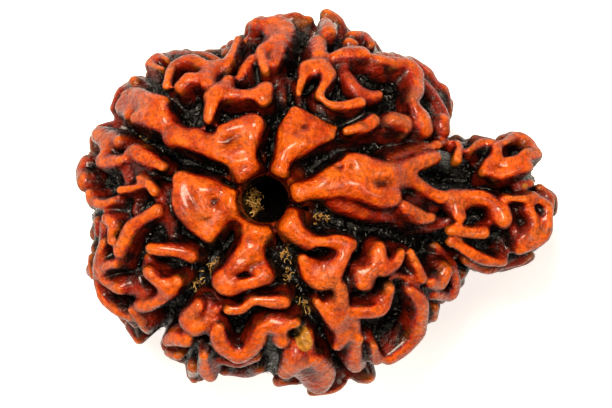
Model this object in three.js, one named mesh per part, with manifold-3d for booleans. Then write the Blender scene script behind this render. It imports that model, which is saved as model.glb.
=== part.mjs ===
// A rudraksha seed: the dried stone of a fruit, one piece of wood-hard shell.
// It has six lobes round a hole, with a trunk-like growth at one side, and a
// labyrinth of rounded ridges stands over all of it. It lies on its lower pole.
// Plan positions are measured from the mouth of the hole, x towards the trunk,
// and heights from the seed's own middle plane, until the last step.

import * as THREE from "three";
import Module from "manifold-3d";

const wasm = await Module();
wasm.setup();

// Driving dimensions, in millimetres.
const BODY = { x: 0.45, y: -0.45, radius: 10.45, halfHeight: 8.6, power: 2.25 };
const SWELLS = [
  { azimuth: 108, halfWidth: 10, out: -1.0 },
  { azimuth: 264, halfWidth: 12, out: -1.0 },
  { azimuth: 42, halfWidth: 25, out: 0.5 },
  { azimuth: 335, halfWidth: 14, out: 0.6 },
  { azimuth: 343, halfWidth: 7, out: 0.5 },
  { azimuth: 29, halfWidth: 7, out: 0.4 },
];
const POLE = { radius: 2.0, depth: 0.9 };
const TRUNK = { x: 13.3, y: -0.35, z: 0.4, length: 4.1, width: 3.15, height: 3.5 };
const NECK_BLEND = 3;
const GROOVE = { depth: 0.45, crown: 0.45, crownReach: 2.2 };
const CRESTS = { tall: 1.95, plate: 1.7, middle: 1.5, web: 1.2, low: 1.05, shelf: 0.8 };
const RIDGE = { flare: 0.22, root: 0.5, blend: 0.3, footBlend: 0.7, stepsPerSpan: 3, thinnest: 0.38 };
const BORE = { mouth: 1.5, throat: 1.05, funnel: 2.2, lowerMouth: 1.35, lean: 5 };
const FLAT_CUT = 0.55;
const FULLNESS = 0.12; // makes up for what softening takes off the crests
const LATTICE = 0.3;
const TRIANGLES = 11400;
const UPPER_CARE = 5;
const COLOUR = { wood: 0xd2571a, roughness: 0.35, metalness: 0 };

// Lobes by the azimuths of the grooves at their sides, in degrees, and the lobe
// whose ridges each one carries, turned over, on the underside.
const LOBES = {
  a: { from: 79, to: 152, under: "b" },
  b: { from: 152, to: 227, under: "a" },
  c: { from: 227, to: 290, under: "f" },
  d: { from: 290, to: 344, under: "e" },
  e: { from: 344, to: 390, under: "d" },
  f: { from: 30, to: 79, under: "c" },
};

// Groove centre lines in plan, from the hole outwards.
const GROOVES = [
  { halfWidth: 0.5, line: [[0.3, 1.6], [1.1, 5.0], [1.5, 6.9], [1.95, 8.75], [2.4, 12.5]] },
  { halfWidth: 0.6, line: [[-1.3, 0.8], [-4.1, 2.3], [-6.0, 3.0], [-7.55, 3.9], [-11.5, 5.8]] },
  { halfWidth: 0.65, line: [[-1.6, -1.55], [-3.8, -3.9], [-5.7, -6.25], [-8.4, -10.5]] },
  { halfWidth: 0.65, line: [[0.55, -1.4], [1.3, -4.05], [2.75, -7.2], [4.6, -10.9], [5.2, -12.8]] },
  { halfWidth: 0.65, line: [[1.8, -0.45], [3.4, -0.95], [7.1, -2.2], [10.25, -3.1], [11.2, -3.7]] },
  { halfWidth: 0.6, line: [[1.6, 1.05], [2.75, 1.9], [4.6, 3.1], [7.1, 3.55], [11.2, 3.6]] },
  { halfWidth: 0.35, line: [[10.4, 1.4], [12.75, 1.1], [14.6, 0.7], [18.6, 0.7]] },
];

// Ridges in plan, each a chain of [x, y, half-width], sorted by the height of
// their crests over the ground between them. Plates, webs and shelves fill the
// room between ridges that have grown together.
const RIDGES = {
  a: {
    tall: [
      [[-1.3, 1.5, 0.35], [-1.45, 2.4, 0.8], [-1.2, 3.3, 0.75], [-0.75, 4.6, 0.75]],
      [[-1.5, 2.6, 0.8], [-2.8, 3.1, 0.65], [-4.0, 3.5, 0.65], [-5.4, 3.9, 0.85]],
      [[-0.9, 4.6, 0.7], [-2.3, 4.35, 0.5], [-2.8, 4.3, 0.4]],
      [[-7.9, 5.1, 0.4], [-7.1, 5.1, 0.65], [-6.2, 4.95, 0.65]],
      [[-9.05, 5.95, 0.45], [-8.35, 6.5, 0.6], [-7.4, 6.3, 0.4], [-6.3, 6.0, 0.35]],
      [[-9.0, 5.9, 0.45], [-8.5, 5.4, 0.3]],
      [[-7.15, 8.5, 0.45], [-6.8, 8.9, 0.45], [-6.3, 8.9, 0.3]],
      [[-7.2, 8.45, 0.4], [-6.5, 8.25, 0.3]],
      [[-6.15, 7.1, 0.3], [-5.85, 8.4, 0.4], [-4.8, 8.75, 0.35], [-3.8, 8.4, 0.35]],
      [[-5.25, 7.0, 0.45], [-4.8, 7.5, 0.45], [-4.2, 7.6, 0.4], [-3.5, 8.0, 0.55], [-3.1, 8.4, 0.4]],
      [[-3.5, 7.9, 0.5], [-3.7, 7.2, 0.4]],
      [[-2.4, 7.3, 0.5], [-2.7, 6.7, 0.7], [-3.5, 6.4, 0.35]],
      [[-2.7, 6.6, 0.6], [-1.4, 6.5, 0.45], [-0.2, 6.7, 0.65]],
      [[-3.1, 6.6, 0.4], [-3.35, 5.7, 0.35], [-3.55, 5.1, 0.3]],
      [[-0.2, 6.9, 0.6], [-0.15, 6.3, 0.6]],
      [[-1.7, 10.0, 0.3], [-2.1, 9.0, 0.35], [-2.6, 8.3, 0.3]],
      [[-0.4, 10.9, 0.6], [0.6, 11.0, 0.5], [1.1, 10.6, 0.6], [1.1, 9.8, 0.6], [0.55, 8.6, 0.5]],
      [[0.7, 10.1, 0.45], [-0.1, 9.5, 0.5], [-0.2, 8.9, 0.45], [-0.1, 8.2, 0.3]],
    ],
    plate: [
      [[-1.25, 1.15, 0.25], [-1.4, 1.9, 0.5]],
      [[-1.6, 3.5, 0.6], [-2.2, 3.85, 0.6], [-3.3, 3.95, 0.5], [-4.4, 4.15, 0.5]],
      [[-8.9, 5.9, 0.45], [-8.2, 5.85, 0.55], [-7.4, 5.7, 0.5], [-6.8, 5.6, 0.4]],
      [[-3.1, 8.0, 0.6], [-3.6, 7.5, 0.65]],
      [[0.3, 10.5, 0.6], [0.4, 9.6, 0.65], [0.5, 8.9, 0.5]],
    ],
    middle: [
      [[-0.8, 8.9, 0.3], [-1.3, 8.1, 0.35], [-1.6, 7.6, 0.3]],
      [[-9.5, 5.9, 0.4], [-9.0, 6.9, 0.45], [-8.2, 7.35, 0.4]],
    ],
    web: [
      [[-6.1, 4.75, 0.4], [-5.7, 4.4, 0.5]],
      [[-3.4, 7.2, 0.4], [-2.9, 7.2, 0.45]],
    ],
    low: [
      [[-6.5, 9.0, 0.3], [-5.2, 9.15, 0.4], [-4.0, 9.0, 0.35], [-3.0, 8.7, 0.3]],
      [[1.2, 11.3, 0.4], [1.8, 11.4, 0.45], [2.1, 11.0, 0.3]],
      [[-1.3, 9.9, 0.25], [-0.8, 10.3, 0.25]],
    ],
    shelf: [
      [[-6.1, 6.1, 0.35], [-5.65, 6.35, 0.3], [-5.8, 6.9, 0.3]],
      [[0, 7.8, 0.45], [0.6, 7.5, 0.5], [1.3, 7.2, 0.5], [1.9, 7.0, 0.35]],
      [[1.0, 6.7, 0.45], [1.1, 6.2, 0.3]],
    ],
  },
  b: {
    tall: [
      [[-5.2, 1.3, 0.65], [-3.8, 0.8, 0.75], [-2.5, 0, 0.7], [-3.0, -1.3, 0.8], [-3.6, -2.2, 0.6]],
      [[-5.2, 1.2, 0.65], [-5.1, -0.2, 0.7], [-4.2, -1.3, 0.85], [-3.6, -2.2, 0.6]],
      [[-4.2, 0.4, 0.8], [-3.9, -0.6, 0.9]],
      [[-8.05, 3.0, 0.45], [-7.2, 2.5, 0.6], [-6.45, 2.1, 0.5]],
      [[-10.4, 4.1, 0.4], [-9.7, 4.0, 0.45], [-9.2, 3.75, 0.4]],
      [[-10.3, 4.0, 0.4], [-10.05, 3.1, 0.35], [-10.1, 2.5, 0.5], [-9.5, 2.4, 0.55], [-9.0, 2.5, 0.35]],
      [[-11.2, 2.3, 0.5], [-11.4, 1.7, 0.5], [-11.2, 1.2, 0.5]],
      [[-10.85, 0.45, 0.25], [-10.75, -0.05, 0.3], [-10.2, -0.3, 0.3], [-9.6, -0.15, 0.25]],
      [[-9.0, 0.45, 0.4], [-8.4, 0.6, 0.4], [-7.9, 0.8, 0.35]],
      [[-8.0, 1.3, 0.35], [-7.3, 0.95, 0.45], [-6.9, 0.5, 0.4]],
      [[-6.7, -0.7, 0.5], [-7.4, -1.1, 0.5], [-8.3, -1.7, 0.5], [-8.7, -2.6, 0.5], [-9.0, -3.3, 0.5]],
      [[-9.9, -1.2, 0.4], [-9.4, -1.4, 0.5], [-9.6, -2.1, 0.35], [-9.6, -2.6, 0.3]],
      [[-10.1, -2.6, 0.35], [-10.5, -4.2, 0.4], [-10.2, -5.9, 0.4], [-9.0, -7.1, 0.4], [-8.5, -7.4, 0.3]],
      [[-10.4, -4.7, 0.3], [-9.9, -4.1, 0.35], [-9.3, -4.05, 0.3]],
      [[-10.1, -5.1, 0.35], [-9.5, -5.35, 0.5], [-9.1, -5.5, 0.45]],
      [[-6.9, -2.9, 0.35], [-5.9, -2.95, 0.55], [-5.1, -3.25, 0.55], [-4.6, -3.5, 0.55]],
      [[-7.1, -4.5, 0.4], [-6.6, -5.0, 0.5], [-6.1, -5.4, 0.55]],
      [[-5.6, -4.95, 0.4], [-6.1, -5.4, 0.55], [-6.5, -6.1, 0.45], [-7.2, -6.5, 0.5], [-7.8, -6.6, 0.5]],
      [[-8.4, -6.9, 0.3], [-7.9, -7.6, 0.4], [-7.5, -8.1, 0.45]],
    ],
    plate: [
      [[-8.3, 2.9, 0.5], [-7.8, 2.6, 0.5], [-7.1, 2.2, 0.5]],
    ],
    middle: [
    ],
    web: [
      [[-8.3, 2.6, 0.4], [-8.5, 1.8, 0.4], [-8.4, 1.1, 0.45]],
      [[-7.9, 2.2, 0.5], [-7.6, 1.5, 0.5], [-7.3, 1.2, 0.4]],
      [[-6.6, 0.4, 0.5], [-6.35, -0.3, 0.5], [-6.1, -1.0, 0.4]],
      [[-9.8, -1.7, 0.6], [-10.0, -2.4, 0.45], [-9.9, -3.0, 0.5], [-9.9, -3.5, 0.45]],
      [[-8.8, -5.5, 0.4], [-8.0, -5.5, 0.4], [-7.5, -5.7, 0.3]],
    ],
    low: [
      [[-10.4, 4.5, 0.3], [-9.8, 4.75, 0.3], [-9.2, 4.5, 0.3]],
      [[-10.8, 3.8, 0.25], [-10.8, 3.2, 0.3]],
      [[-8.1, 0.1, 0.2], [-8.25, -0.7, 0.2]],
      [[-10.5, -1.4, 0.25], [-10.5, -2.1, 0.25]],
      [[-10.9, -3.6, 0.25], [-11.0, -4.2, 0.25], [-10.9, -4.8, 0.25]],
      [[-8.6, -7.9, 0.3], [-8.0, -8.6, 0.3]],
    ],
    shelf: [
      [[-5.9, 0.6, 0.35], [-5.85, -0.6, 0.4], [-5.7, -1.8, 0.4]],
      [[-7.9, -4.7, 0.4], [-7.8, -5.3, 0.5]],
      [[-7.3, -4.2, 0.3], [-7.1, -3.6, 0.3]],
    ],
  },
  c: {
    tall: [
      [[-1.0, -2.0, 0.5], [-1.0, -3.0, 0.85], [-1.6, -4.0, 0.8], [-2.6, -5.0, 0.75]],
      [[-2.7, -4.9, 0.75], [-2.2, -5.3, 0.7], [-1.2, -5.1, 0.55], [-0.1, -4.65, 0.65]],
      [[-2.4, -6.8, 0.35], [-1.6, -6.85, 0.45], [-0.8, -6.35, 0.4], [0.3, -6.35, 0.45], [1.1, -6.2, 0.6]],
      [[-4.3, -6.5, 0.45], [-4.7, -7.3, 0.75], [-4.3, -7.8, 0.7]],
      [[-6.2, -8.7, 0.4], [-5.6, -8.5, 0.55], [-4.9, -8.8, 0.4]],
      [[-2.9, -7.9, 0.4], [-2.9, -8.4, 0.55], [-2.6, -9.2, 0.6], [-1.75, -9.6, 0.6]],
      [[-1.75, -9.6, 0.6], [-1.2, -9.4, 0.55], [-0.55, -8.75, 0.5], [-0.25, -8.0, 0.4]],
      [[0.1, -7.9, 0.4], [1.0, -7.9, 0.5], [1.8, -7.7, 0.5]],
      [[1, -8.1, 0.45], [1, -8.7, 0.5]],
      [[1.2, -10.7, 0.55], [2.0, -10.1, 0.6], [3.0, -9.9, 0.7], [3.5, -10.8, 0.8], [3.3, -11.4, 0.8]],
      [[1.9, -9.6, 0.5], [1.4, -10.3, 0.5]],
      [[-3.9, -9.8, 0.4], [-3.7, -10.6, 0.55], [-3.5, -11.0, 0.5]],
    ],
    plate: [
      [[-0.5, -2.0, 0.5], [-0.55, -3.0, 0.6], [-0.4, -3.9, 0.5], [0.1, -4.6, 0.6]],
      [[0.3, -7.5, 0.5], [1.2, -7.6, 0.5]],
      [[1.5, -9.5, 0.5], [1.6, -10.2, 0.5], [2.3, -10.7, 0.7], [2.8, -11.2, 0.8]],
    ],
    middle: [
      [[-3.6, -7.6, 0.5], [-3.1, -6.8, 0.45]],
      [[2.6, -8.3, 0.5], [2.5, -9.2, 0.65]],
      [[1.7, -8.7, 0.4], [1.9, -9.3, 0.4]],
      [[-6.2, -9.5, 0.35], [-5.5, -9.7, 0.4]],
    ],
    web: [
      [[-1.3, -1.2, 0.35], [-0.7, -1.4, 0.35]],
      [[-1.9, -4.5, 0.5], [-1, -4.6, 0.45], [-0.6, -4.4, 0.4]],
      [[-2.7, -10, 0.4], [-1.6, -10.2, 0.4], [-0.7, -9.8, 0.35]],
      [[-3.5, -6.4, 0.5], [-3.5, -7.2, 0.6], [-3.4, -8.0, 0.4]],
    ],
    low: [
      [[-4.6, -10.4, 0.3], [-4.5, -11.2, 0.35]],
      [[-2.6, -10.7, 0.5], [-1.5, -10.75, 0.5], [-0.4, -10.5, 0.45]],
      [[0.9, -11.3, 0.35], [2.0, -11.4, 0.3]],
      [[3.0, -12.0, 0.35], [4.2, -11.9, 0.35], [4.8, -11.5, 0.3]],
    ],
    shelf: [
      [[-3.3, -6.0, 0.3], [-2.8, -6.4, 0.3]],
    ],
  },
  d: {
    tall: [
      [[1.55, -0.8, 0.45], [2.0, -1.9, 0.6], [2.7, -2.45, 0.6]],
      [[2.4, -3.6, 0.4], [2.8, -4.4, 0.75], [3.4, -4.9, 0.7], [4.2, -4.6, 0.55], [5.2, -2.9, 0.45]],
      [[3.5, -2.5, 0.35], [4.4, -2.5, 0.5], [5.3, -2.7, 0.5]],
      [[4.6, -5.4, 0.35], [4.7, -6.4, 0.5], [4.5, -7.4, 0.8], [4.8, -8.3, 0.7], [4.6, -8.9, 0.55]],
      [[3.1, -6.3, 0.3], [3.6, -7.0, 0.5], [4.2, -7.5, 0.7]],
      [[6.5, -4.4, 0.55], [6.0, -5.0, 0.75]],
      [[7.0, -2.9, 0.5], [7.0, -3.6, 0.55], [7.4, -4.2, 0.5], [8.1, -3.9, 0.35], [8.4, -3.3, 0.3]],
      [[5.7, -7, 0.35], [6.6, -6.95, 0.4], [7.5, -6.6, 0.45], [7.8, -5.5, 0.35]],
      [[9, -3.3, 0.3], [9.4, -4.1, 0.4], [9.7, -4.8, 0.42]],
      [[11.2, -4.5, 0.5], [10.9, -5.1, 0.5], [10.3, -5.1, 0.4]],
      [[9.0, -5.6, 0.4], [9.6, -6.4, 0.55], [9.5, -7.5, 0.55], [9.0, -8.6, 0.55], [7.6, -9.7, 0.45]],
      [[5.8, -8.7, 0.35], [5.5, -9.6, 0.55], [5.5, -10.2, 0.55]],
      [[6.7, -9.2, 0.3], [6.8, -9.9, 0.4]],
    ],
    plate: [
      [[3.0, -3.9, 0.5], [3.6, -4.2, 0.6], [4.2, -3.9, 0.5]],
      [[4, -6.3, 0.4], [4.2, -7, 0.6]],
      [[5.2, -6.9, 0.45], [5.4, -7.7, 0.5], [5.5, -8.5, 0.35]],
      [[5.7, -4.5, 0.5], [6.2, -5.1, 0.6]],
      [[6.9, -6.5, 0.4], [7.4, -6.1, 0.5]],
    ],
    middle: [
      [[11.4, -4.2, 0.4], [11.8, -5.2, 0.4], [11.3, -5.9, 0.4], [10.4, -5.9, 0.35]],
      [[9.3, -4.8, 0.35], [8.6, -4.75, 0.28], [8, -4.6, 0.25]],
      [[10.6, -6.8, 0.25], [10.4, -7.4, 0.3]],
      [[5.9, -11.2, 0.5], [6.3, -11.2, 0.6]],
    ],
    web: [
      [[5.2, -4.9, 0.4], [5.1, -5.6, 0.4]],
      [[4.3, -3.2, 0.4], [4.9, -3.4, 0.4]],
      [[1.2, -1.4, 0.3], [1.35, -2.3, 0.35]],
    ],
    low: [
      [[5.4, -10.9, 0.35], [6, -10.9, 0.3]],
      [[10.6, -3.1, 0.3], [11.1, -3.9, 0.4]],
      [[9.5, -5.6, 0.4], [10.3, -5.6, 0.45]],
    ],
    shelf: [
      [[0.5, -1.5, 0.25], [0.6, -2.4, 0.25]],
      [[1.75, -0.3, 0.25], [1.9, 0, 0.25]],
    ],
  },
  e: {
    tall: [
      [[2.3, 0.5, 0.4], [3.6, 0.8, 0.75], [5.0, 1.0, 0.9], [6.5, 0.4, 0.75], [7.8, 0.1, 0.55]],
      [[3.8, 1.2, 0.7], [5.0, 2.1, 0.75], [6.3, 1.8, 0.8], [7.8, 1.7, 0.8], [9.4, 2.3, 0.6], [10.5, 2.6, 0.4]],
      [[9.0, 1.2, 0.6], [9.9, 0.6, 0.5], [10.8, 0.2, 0.45]],
      [[8.6, -0.6, 0.45], [9.5, -1.1, 0.6], [10.3, -1.1, 0.45]],
    ],
    plate: [
      [[4.2, 1.5, 0.7], [5.2, 1.6, 0.7], [6.4, 1.2, 0.7], [7.6, 0.9, 0.6], [8.6, 1.2, 0.6]],
      [[5.0, 2.5, 0.5], [5.8, 2.3, 0.5]],
    ],
    middle: [
      [[7.6, 2.55, 0.25], [8.6, 2.85, 0.25], [10, 3.05, 0.3]],
    ],
    web: [
      [[1.65, 0.85, 0.25], [2.2, 0.6, 0.3]],
      [[4.0, 0.1, 0.5], [5.6, -0.3, 0.5], [7.2, -0.6, 0.5], [8.4, -0.2, 0.5]],
      [[8.4, -0.2, 0.5], [9.3, -0.2, 0.6], [10.3, -0.5, 0.5]],
      [[8.2, 2.4, 0.5], [9.2, 2.9, 0.4]],
    ],
    low: [
      [[4.5, -0.3, 0.5], [6.5, -0.8, 0.5], [8.3, -1.1, 0.5], [9.2, -1.6, 0.45]],
      [[9.2, -1.6, 0.45], [10.4, -1.7, 0.45], [11.2, -1.5, 0.35]],
    ],
  },
  f: {
    tall: [
      [[0.95, 2.0, 0.35], [1.3, 3.0, 0.65], [1.4, 4.3, 0.6], [1.9, 5.4, 0.55]],
      [[1.3, 2.9, 0.65], [2.5, 3.5, 0.65], [3.9, 4.0, 0.55]],
      [[4.9, 4.2, 0.45], [5.9, 4.5, 0.5], [6.7, 4.9, 0.5]],
      [[2.15, 6.5, 0.3], [2.35, 7.5, 0.35], [2.7, 8.3, 0.5], [3.4, 8.4, 0.55]],
      [[3.4, 8.4, 0.55], [3.75, 7.9, 0.45], [3.5, 7.0, 0.4], [3.3, 6.5, 0.4]],
      [[3.4, 6.3, 0.4], [4.0, 5.9, 0.5], [5.0, 5.8, 0.6], [5.8, 6.0, 0.5]],
      [[3.15, 9.8, 0.6], [3.3, 9.1, 0.55]],
      [[4.2, 9.0, 0.4], [5.0, 9.0, 0.55], [5.8, 9.0, 0.55]],
      [[3.7, 11.0, 0.45], [3.8, 10.4, 0.45]],
      [[7.0, 8.6, 0.4], [8.0, 8.4, 0.45], [8.8, 8.3, 0.35], [9.2, 7.8, 0.4]],
      [[9.25, 7.7, 0.42], [9.35, 6.8, 0.45], [9.15, 6, 0.45], [9.6, 5.1, 0.55], [9.8, 4.4, 0.5]],
      [[7.9, 4.9, 0.65], [8.5, 4.7, 0.7]],
      [[11.0, 5.0, 0.5], [11.0, 4.3, 0.45]],
    ],
    plate: [
      [[1.7, 4.2, 0.5], [2.2, 3.9, 0.6], [3, 4.2, 0.5]],
      [[2.1, 4.9, 0.4], [2.7, 4.6, 0.45]],
      [[2.9, 8.2, 0.45], [3.3, 8.0, 0.45]],
    ],
    middle: [
      [[2, 5.45, 0.5], [2.9, 5.1, 0.4], [3.7, 4.7, 0.4], [4.3, 4.5, 0.3]],
      [[5.2, 9.8, 0.25], [5.5, 9.7, 0.25]],
      [[5.3, 10.2, 0.3], [6.2, 10.2, 0.3], [6.6, 9.7, 0.35]],
      [[6.6, 8.8, 0.35], [7.8, 9.0, 0.4], [9.0, 8.7, 0.4], [10.0, 8.0, 0.4]],
    ],
    web: [
      [[0.45, 1.6, 0.25], [0.55, 2.4, 0.25]],
      [[2.1, 4.9, 0.45], [2.6, 4.7, 0.45]],
      [[4.5, 8.6, 0.5], [4.8, 7.8, 0.4]],
      [[3.1, 6.5, 0.35], [3.4, 6.4, 0.35]],
      [[8.9, 5.3, 0.5], [9.2, 5.0, 0.4]],
      [[5.1, 7.4, 0.35], [5.6, 6.8, 0.35], [6.4, 6.4, 0.4], [7.0, 6.5, 0.35]],
    ],
    low: [
      [[3.9, 11.5, 0.4], [4.6, 11.2, 0.4], [4.9, 10.4, 0.35]],
      [[2.6, 11.2, 0.3], [2.8, 10.6, 0.25]],
      [[9.8, 8.1, 0.3], [10.5, 7.2, 0.35], [10.8, 6.3, 0.3]],
      [[11.0, 6.9, 0.3], [11.4, 6.0, 0.35], [11.5, 5.3, 0.3]],
    ],
    shelf: [
      [[1.3, 1.5, 0.25], [1.6, 1.15, 0.25]],
    ],
  },
};

// Ridges of the trunk, which its underside carries in the same places.
const TRUNK_RIDGES = {
  tall: [
    [[10.6, 3.35, 0.3], [11.3, 3.55, 0.3], [12, 3.4, 0.45], [12, 2.6, 0.4]],
    [[12.7, 3.2, 0.35], [13.4, 3.6, 0.4], [14.2, 3.4, 0.42], [14.3, 2.9, 0.35]],
    [[13.6, 1.9, 0.4], [13.9, 2.3, 0.5]],
    [[13.9, 2.1, 0.5], [14.3, 1.6, 0.42], [15.2, 1.7, 0.4], [16.1, 2, 0.4]],
    [[14.8, 3.5, 0.3], [15.5, 3.9, 0.35], [16.3, 3.6, 0.4], [16.8, 3.0, 0.35]],
    [[14.8, 2.3, 0.25], [15.9, 2.7, 0.3], [16.8, 2.8, 0.4]],
    [[11.5, 0.2, 0.5], [12.6, 0.1, 0.6], [13.7, 0, 0.65], [14.5, -0.6, 0.6], [14.8, -1.2, 0.5]],
    [[12, -0.2, 0.6], [12, -0.9, 0.45], [12.15, -1.15, 0.35]],
    [[14.9, -0.6, 0.5], [15.1, -1.2, 0.45]],
    [[14.9, 0.1, 0.3], [15.8, 0, 0.4], [16.6, 0, 0.4]],
    [[16.8, 0.2, 0.35], [17.5, -0.3, 0.45], [17.5, -1.1, 0.5], [17.3, -2.1, 0.55], [15.9, -3.1, 0.5]],
    [[11.6, -2, 0.3], [12.6, -2.15, 0.26], [13.6, -2.05, 0.3]],
    [[11.5, -2.8, 0.3], [12.6, -3.25, 0.35], [13.6, -3.75, 0.3], [14.9, -3.85, 0.3]],
  ],
  plate: [
    [[11.6, -0.3, 0.5], [12.3, -0.3, 0.5]],
    [[16.2, -0.6, 0.55], [16.6, -1.3, 0.6], [16.4, -2, 0.6], [15.9, -2.5, 0.4]],
    [[14.3, -1.0, 0.6], [14.9, -1.4, 0.5]],
  ],
  web: [
    [[13.2, 2.9, 0.45], [14.0, 3.0, 0.4]],
    [[16.3, -0.9, 0.6], [16.8, -1.5, 0.6], [16.3, -2.3, 0.6]],
    [[15.3, -0.9, 0.5], [15.4, -1.8, 0.45]],
    [[15.6, 0.75, 0.25], [16.5, 0.95, 0.3]],
  ],
  low: [
    [[17.2, 0.6, 0.3], [17.8, 0.1, 0.3], [17.8, -0.7, 0.25]],
    [[12.4, -3.7, 0.3], [13.2, -4.1, 0.35], [14.4, -4.3, 0.35], [15.8, -4.0, 0.35], [16.6, -3.5, 0.3]],
  ],
  shelf: [
    [[10.9, -3.1, 0.3], [11.5, -3.4, 0.3]],
  ],
};

// How the ridges of one half are carried over to the other.
const UNDERSIDE = { outermost: 0.95, stretch: 1.08, trunkClearance: 0.6 };

// Ridges that wander over what is left of the sides and the underside.
const WANDER = {
  starts: 900,
  spacing: 1.75,
  clearance: 1.35,
  grooveClearance: 1.0,
  stride: 0.6,
  steps: 6,
  halfWidth: 0.45,
  highest: 1.2,
  crests: [1.8, 1.5, 1.2, 0.9],
  everyOnTrunk: 6,
  overhang: 0.1,
};

const RAD = Math.PI / 180;

// The lesser of two distances, rounded where they meet.
function blend(a, b, width) {
  const overlap = Math.max(width - Math.abs(a - b), 0) / width;
  return Math.min(a, b) - (overlap * overlap * width) / 4;
}

function bell(distance, width) {
  return Math.exp(-((distance / width) ** 2));
}

function planDistanceToLine(x, y, line) {
  let nearest = Infinity;
  for (let i = 0; i + 1 < line.length; i++) {
    const [ax, ay] = line[i];
    const [bx, by] = line[i + 1];
    const dx = bx - ax;
    const dy = by - ay;
    const along = ((x - ax) * dx + (y - ay) * dy) / (dx * dx + dy * dy);
    const t = Math.min(Math.max(along, 0), 1);
    nearest = Math.min(nearest, Math.hypot(x - ax - t * dx, y - ay - t * dy));
  }
  return nearest;
}

function bodyHeight(x, y, z) {
  const dx = x - BODY.x;
  const dy = y - BODY.y;
  const azimuth = Math.atan2(dy, dx) / RAD;
  let radius = BODY.radius;
  for (const swell of SWELLS) {
    const aside = ((azimuth - swell.azimuth + 900) % 360) - 180;
    radius += swell.out * bell(aside, swell.halfWidth);
  }
  const plan = Math.max(Math.hypot(dx, dy), 1e-6) / radius;
  const up = Math.max(Math.abs(z), 1e-6) / BODY.halfHeight;
  const level = (plan ** BODY.power + up ** BODY.power) ** (1 / BODY.power);
  const slopePlan = (plan / level) ** (BODY.power - 1) / radius;
  const slopeUp = (up / level) ** (BODY.power - 1) / BODY.halfHeight;
  const pole = POLE.depth * bell(Math.hypot(x, y), POLE.radius);
  return (level - 1) / Math.hypot(slopePlan, slopeUp) + pole;
}

function trunkHeight(x, y, z) {
  const qx = (x - TRUNK.x) / TRUNK.length;
  const qy = (y - TRUNK.y) / TRUNK.width;
  const qz = (z - TRUNK.z) / TRUNK.height;
  const level = Math.max(Math.hypot(qx, qy, qz), 1e-6);
  const slope = Math.hypot(qx / TRUNK.length, qy / TRUNK.width, qz / TRUNK.height);
  return (level * (level - 1)) / slope;
}

// Height of a point over the body and the trunk, without grooves.
function smoothHeight(x, y, z) {
  return blend(bodyHeight(x, y, z), trunkHeight(x, y, z), NECK_BLEND);
}

// Height of a point over the ground that the ridges stand on, negative inside.
function groundHeight(x, y, z) {
  let height = smoothHeight(x, y, z);
  let nearest = Infinity;
  for (const groove of GROOVES) {
    const distance = planDistanceToLine(x, y, groove.line);
    height += GROOVE.depth * bell(distance, groove.halfWidth);
    nearest = Math.min(nearest, distance);
  }
  return height - GROOVE.crown * (1 - bell(nearest, GROOVE.crownReach));
}

// Height of the surface that lies `over` the ground, above or below (x, y).
// Where the surface doesn't reach that far out, the nearest it comes.
function findZ(x, y, over, side) {
  const reach = 13;
  const stride = 0.25;
  let best = side * reach;
  let bestGap = Infinity;
  for (let z = reach; z > 0; z -= stride) {
    const gap = groundHeight(x, y, side * z) - over;
    if (gap < 0) {
      let low = z;
      let high = z + stride;
      for (let i = 0; i < 24; i++) {
        const mid = (low + high) / 2;
        if (groundHeight(x, y, side * mid) - over < 0) low = mid;
        else high = mid;
      }
      return side * low;
    }
    if (gap < bestGap) {
      bestGap = gap;
      best = side * z;
    }
  }
  return best;
}

// A point of a ridge's axis: the ridge's half-width there, and how far the axis
// lies over the ground and over the smooth body.
function axisPoint({ x, y, z }, width, over) {
  return { x, y, z, width, over, level: smoothHeight(x, y, z) };
}

// A ridge's axis, its points closer together along a smooth curve.
function spine(points, crest, side) {
  const curve = (axis) => (i, t) => {
    const at = (j) => points[Math.min(Math.max(j, 0), points.length - 1)][axis];
    const slopeIn = (at(i + 1) - at(i - 1)) / 2;
    const slopeOut = (at(i + 2) - at(i)) / 2;
    const run = at(i + 1) - at(i);
    const rise = (3 * run - 2 * slopeIn - slopeOut) * t * t;
    return at(i) + slopeIn * t + rise + (slopeIn + slopeOut - 2 * run) * t ** 3;
  };
  const [curveX, curveY, curveWidth] = [curve(0), curve(1), curve(2)];
  const out = [];
  for (let i = 0; i + 1 < points.length; i++) {
    for (let step = 0; step < RIDGE.stepsPerSpan; step++) {
      const t = step / RIDGE.stepsPerSpan;
      out.push([curveX(i, t), curveY(i, t), curveWidth(i, t)]);
    }
  }
  out.push(points[points.length - 1]);
  return out.map(([x, y, traced]) => {
    const width = Math.max(traced, RIDGE.thinnest);
    const z = findZ(x, y, Math.max(crest - width, 0.1), side);
    return axisPoint({ x, y, z }, width, groundHeight(x, y, z));
  });
}

// How far the ground's edge is from the hole in one direction.
function edgeRadius(azimuth) {
  const along = BODY.x * Math.cos(azimuth) + BODY.y * Math.sin(azimuth);
  const offset = BODY.x ** 2 + BODY.y ** 2;
  return along + Math.sqrt(BODY.radius ** 2 - offset + along ** 2);
}

// The same place in the lobe that lies under another, seen from below.
function turnOver([x, y, width], lobe, under) {
  const azimuth = Math.atan2(y, x) / RAD;
  const across = ((((azimuth - lobe.from) % 360) + 360) % 360) / (lobe.to - lobe.from);
  const share = across > 2 ? across - 360 / (lobe.to - lobe.from) : across;
  const turned = (under.from + (1 - share) * (under.to - under.from)) * RAD;
  const out = Math.hypot(x, y) / edgeRadius(azimuth * RAD);
  const fromPole = Math.asin(Math.min(out, 1)) * UNDERSIDE.stretch;
  const radius = Math.sin(Math.min(fromPole, Math.PI / 2)) * edgeRadius(turned);
  return [radius * Math.cos(turned), radius * Math.sin(turned), width];
}

function isInner([x, y]) {
  return Math.hypot(x, y) < UNDERSIDE.outermost * edgeRadius(Math.atan2(y, x));
}

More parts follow.
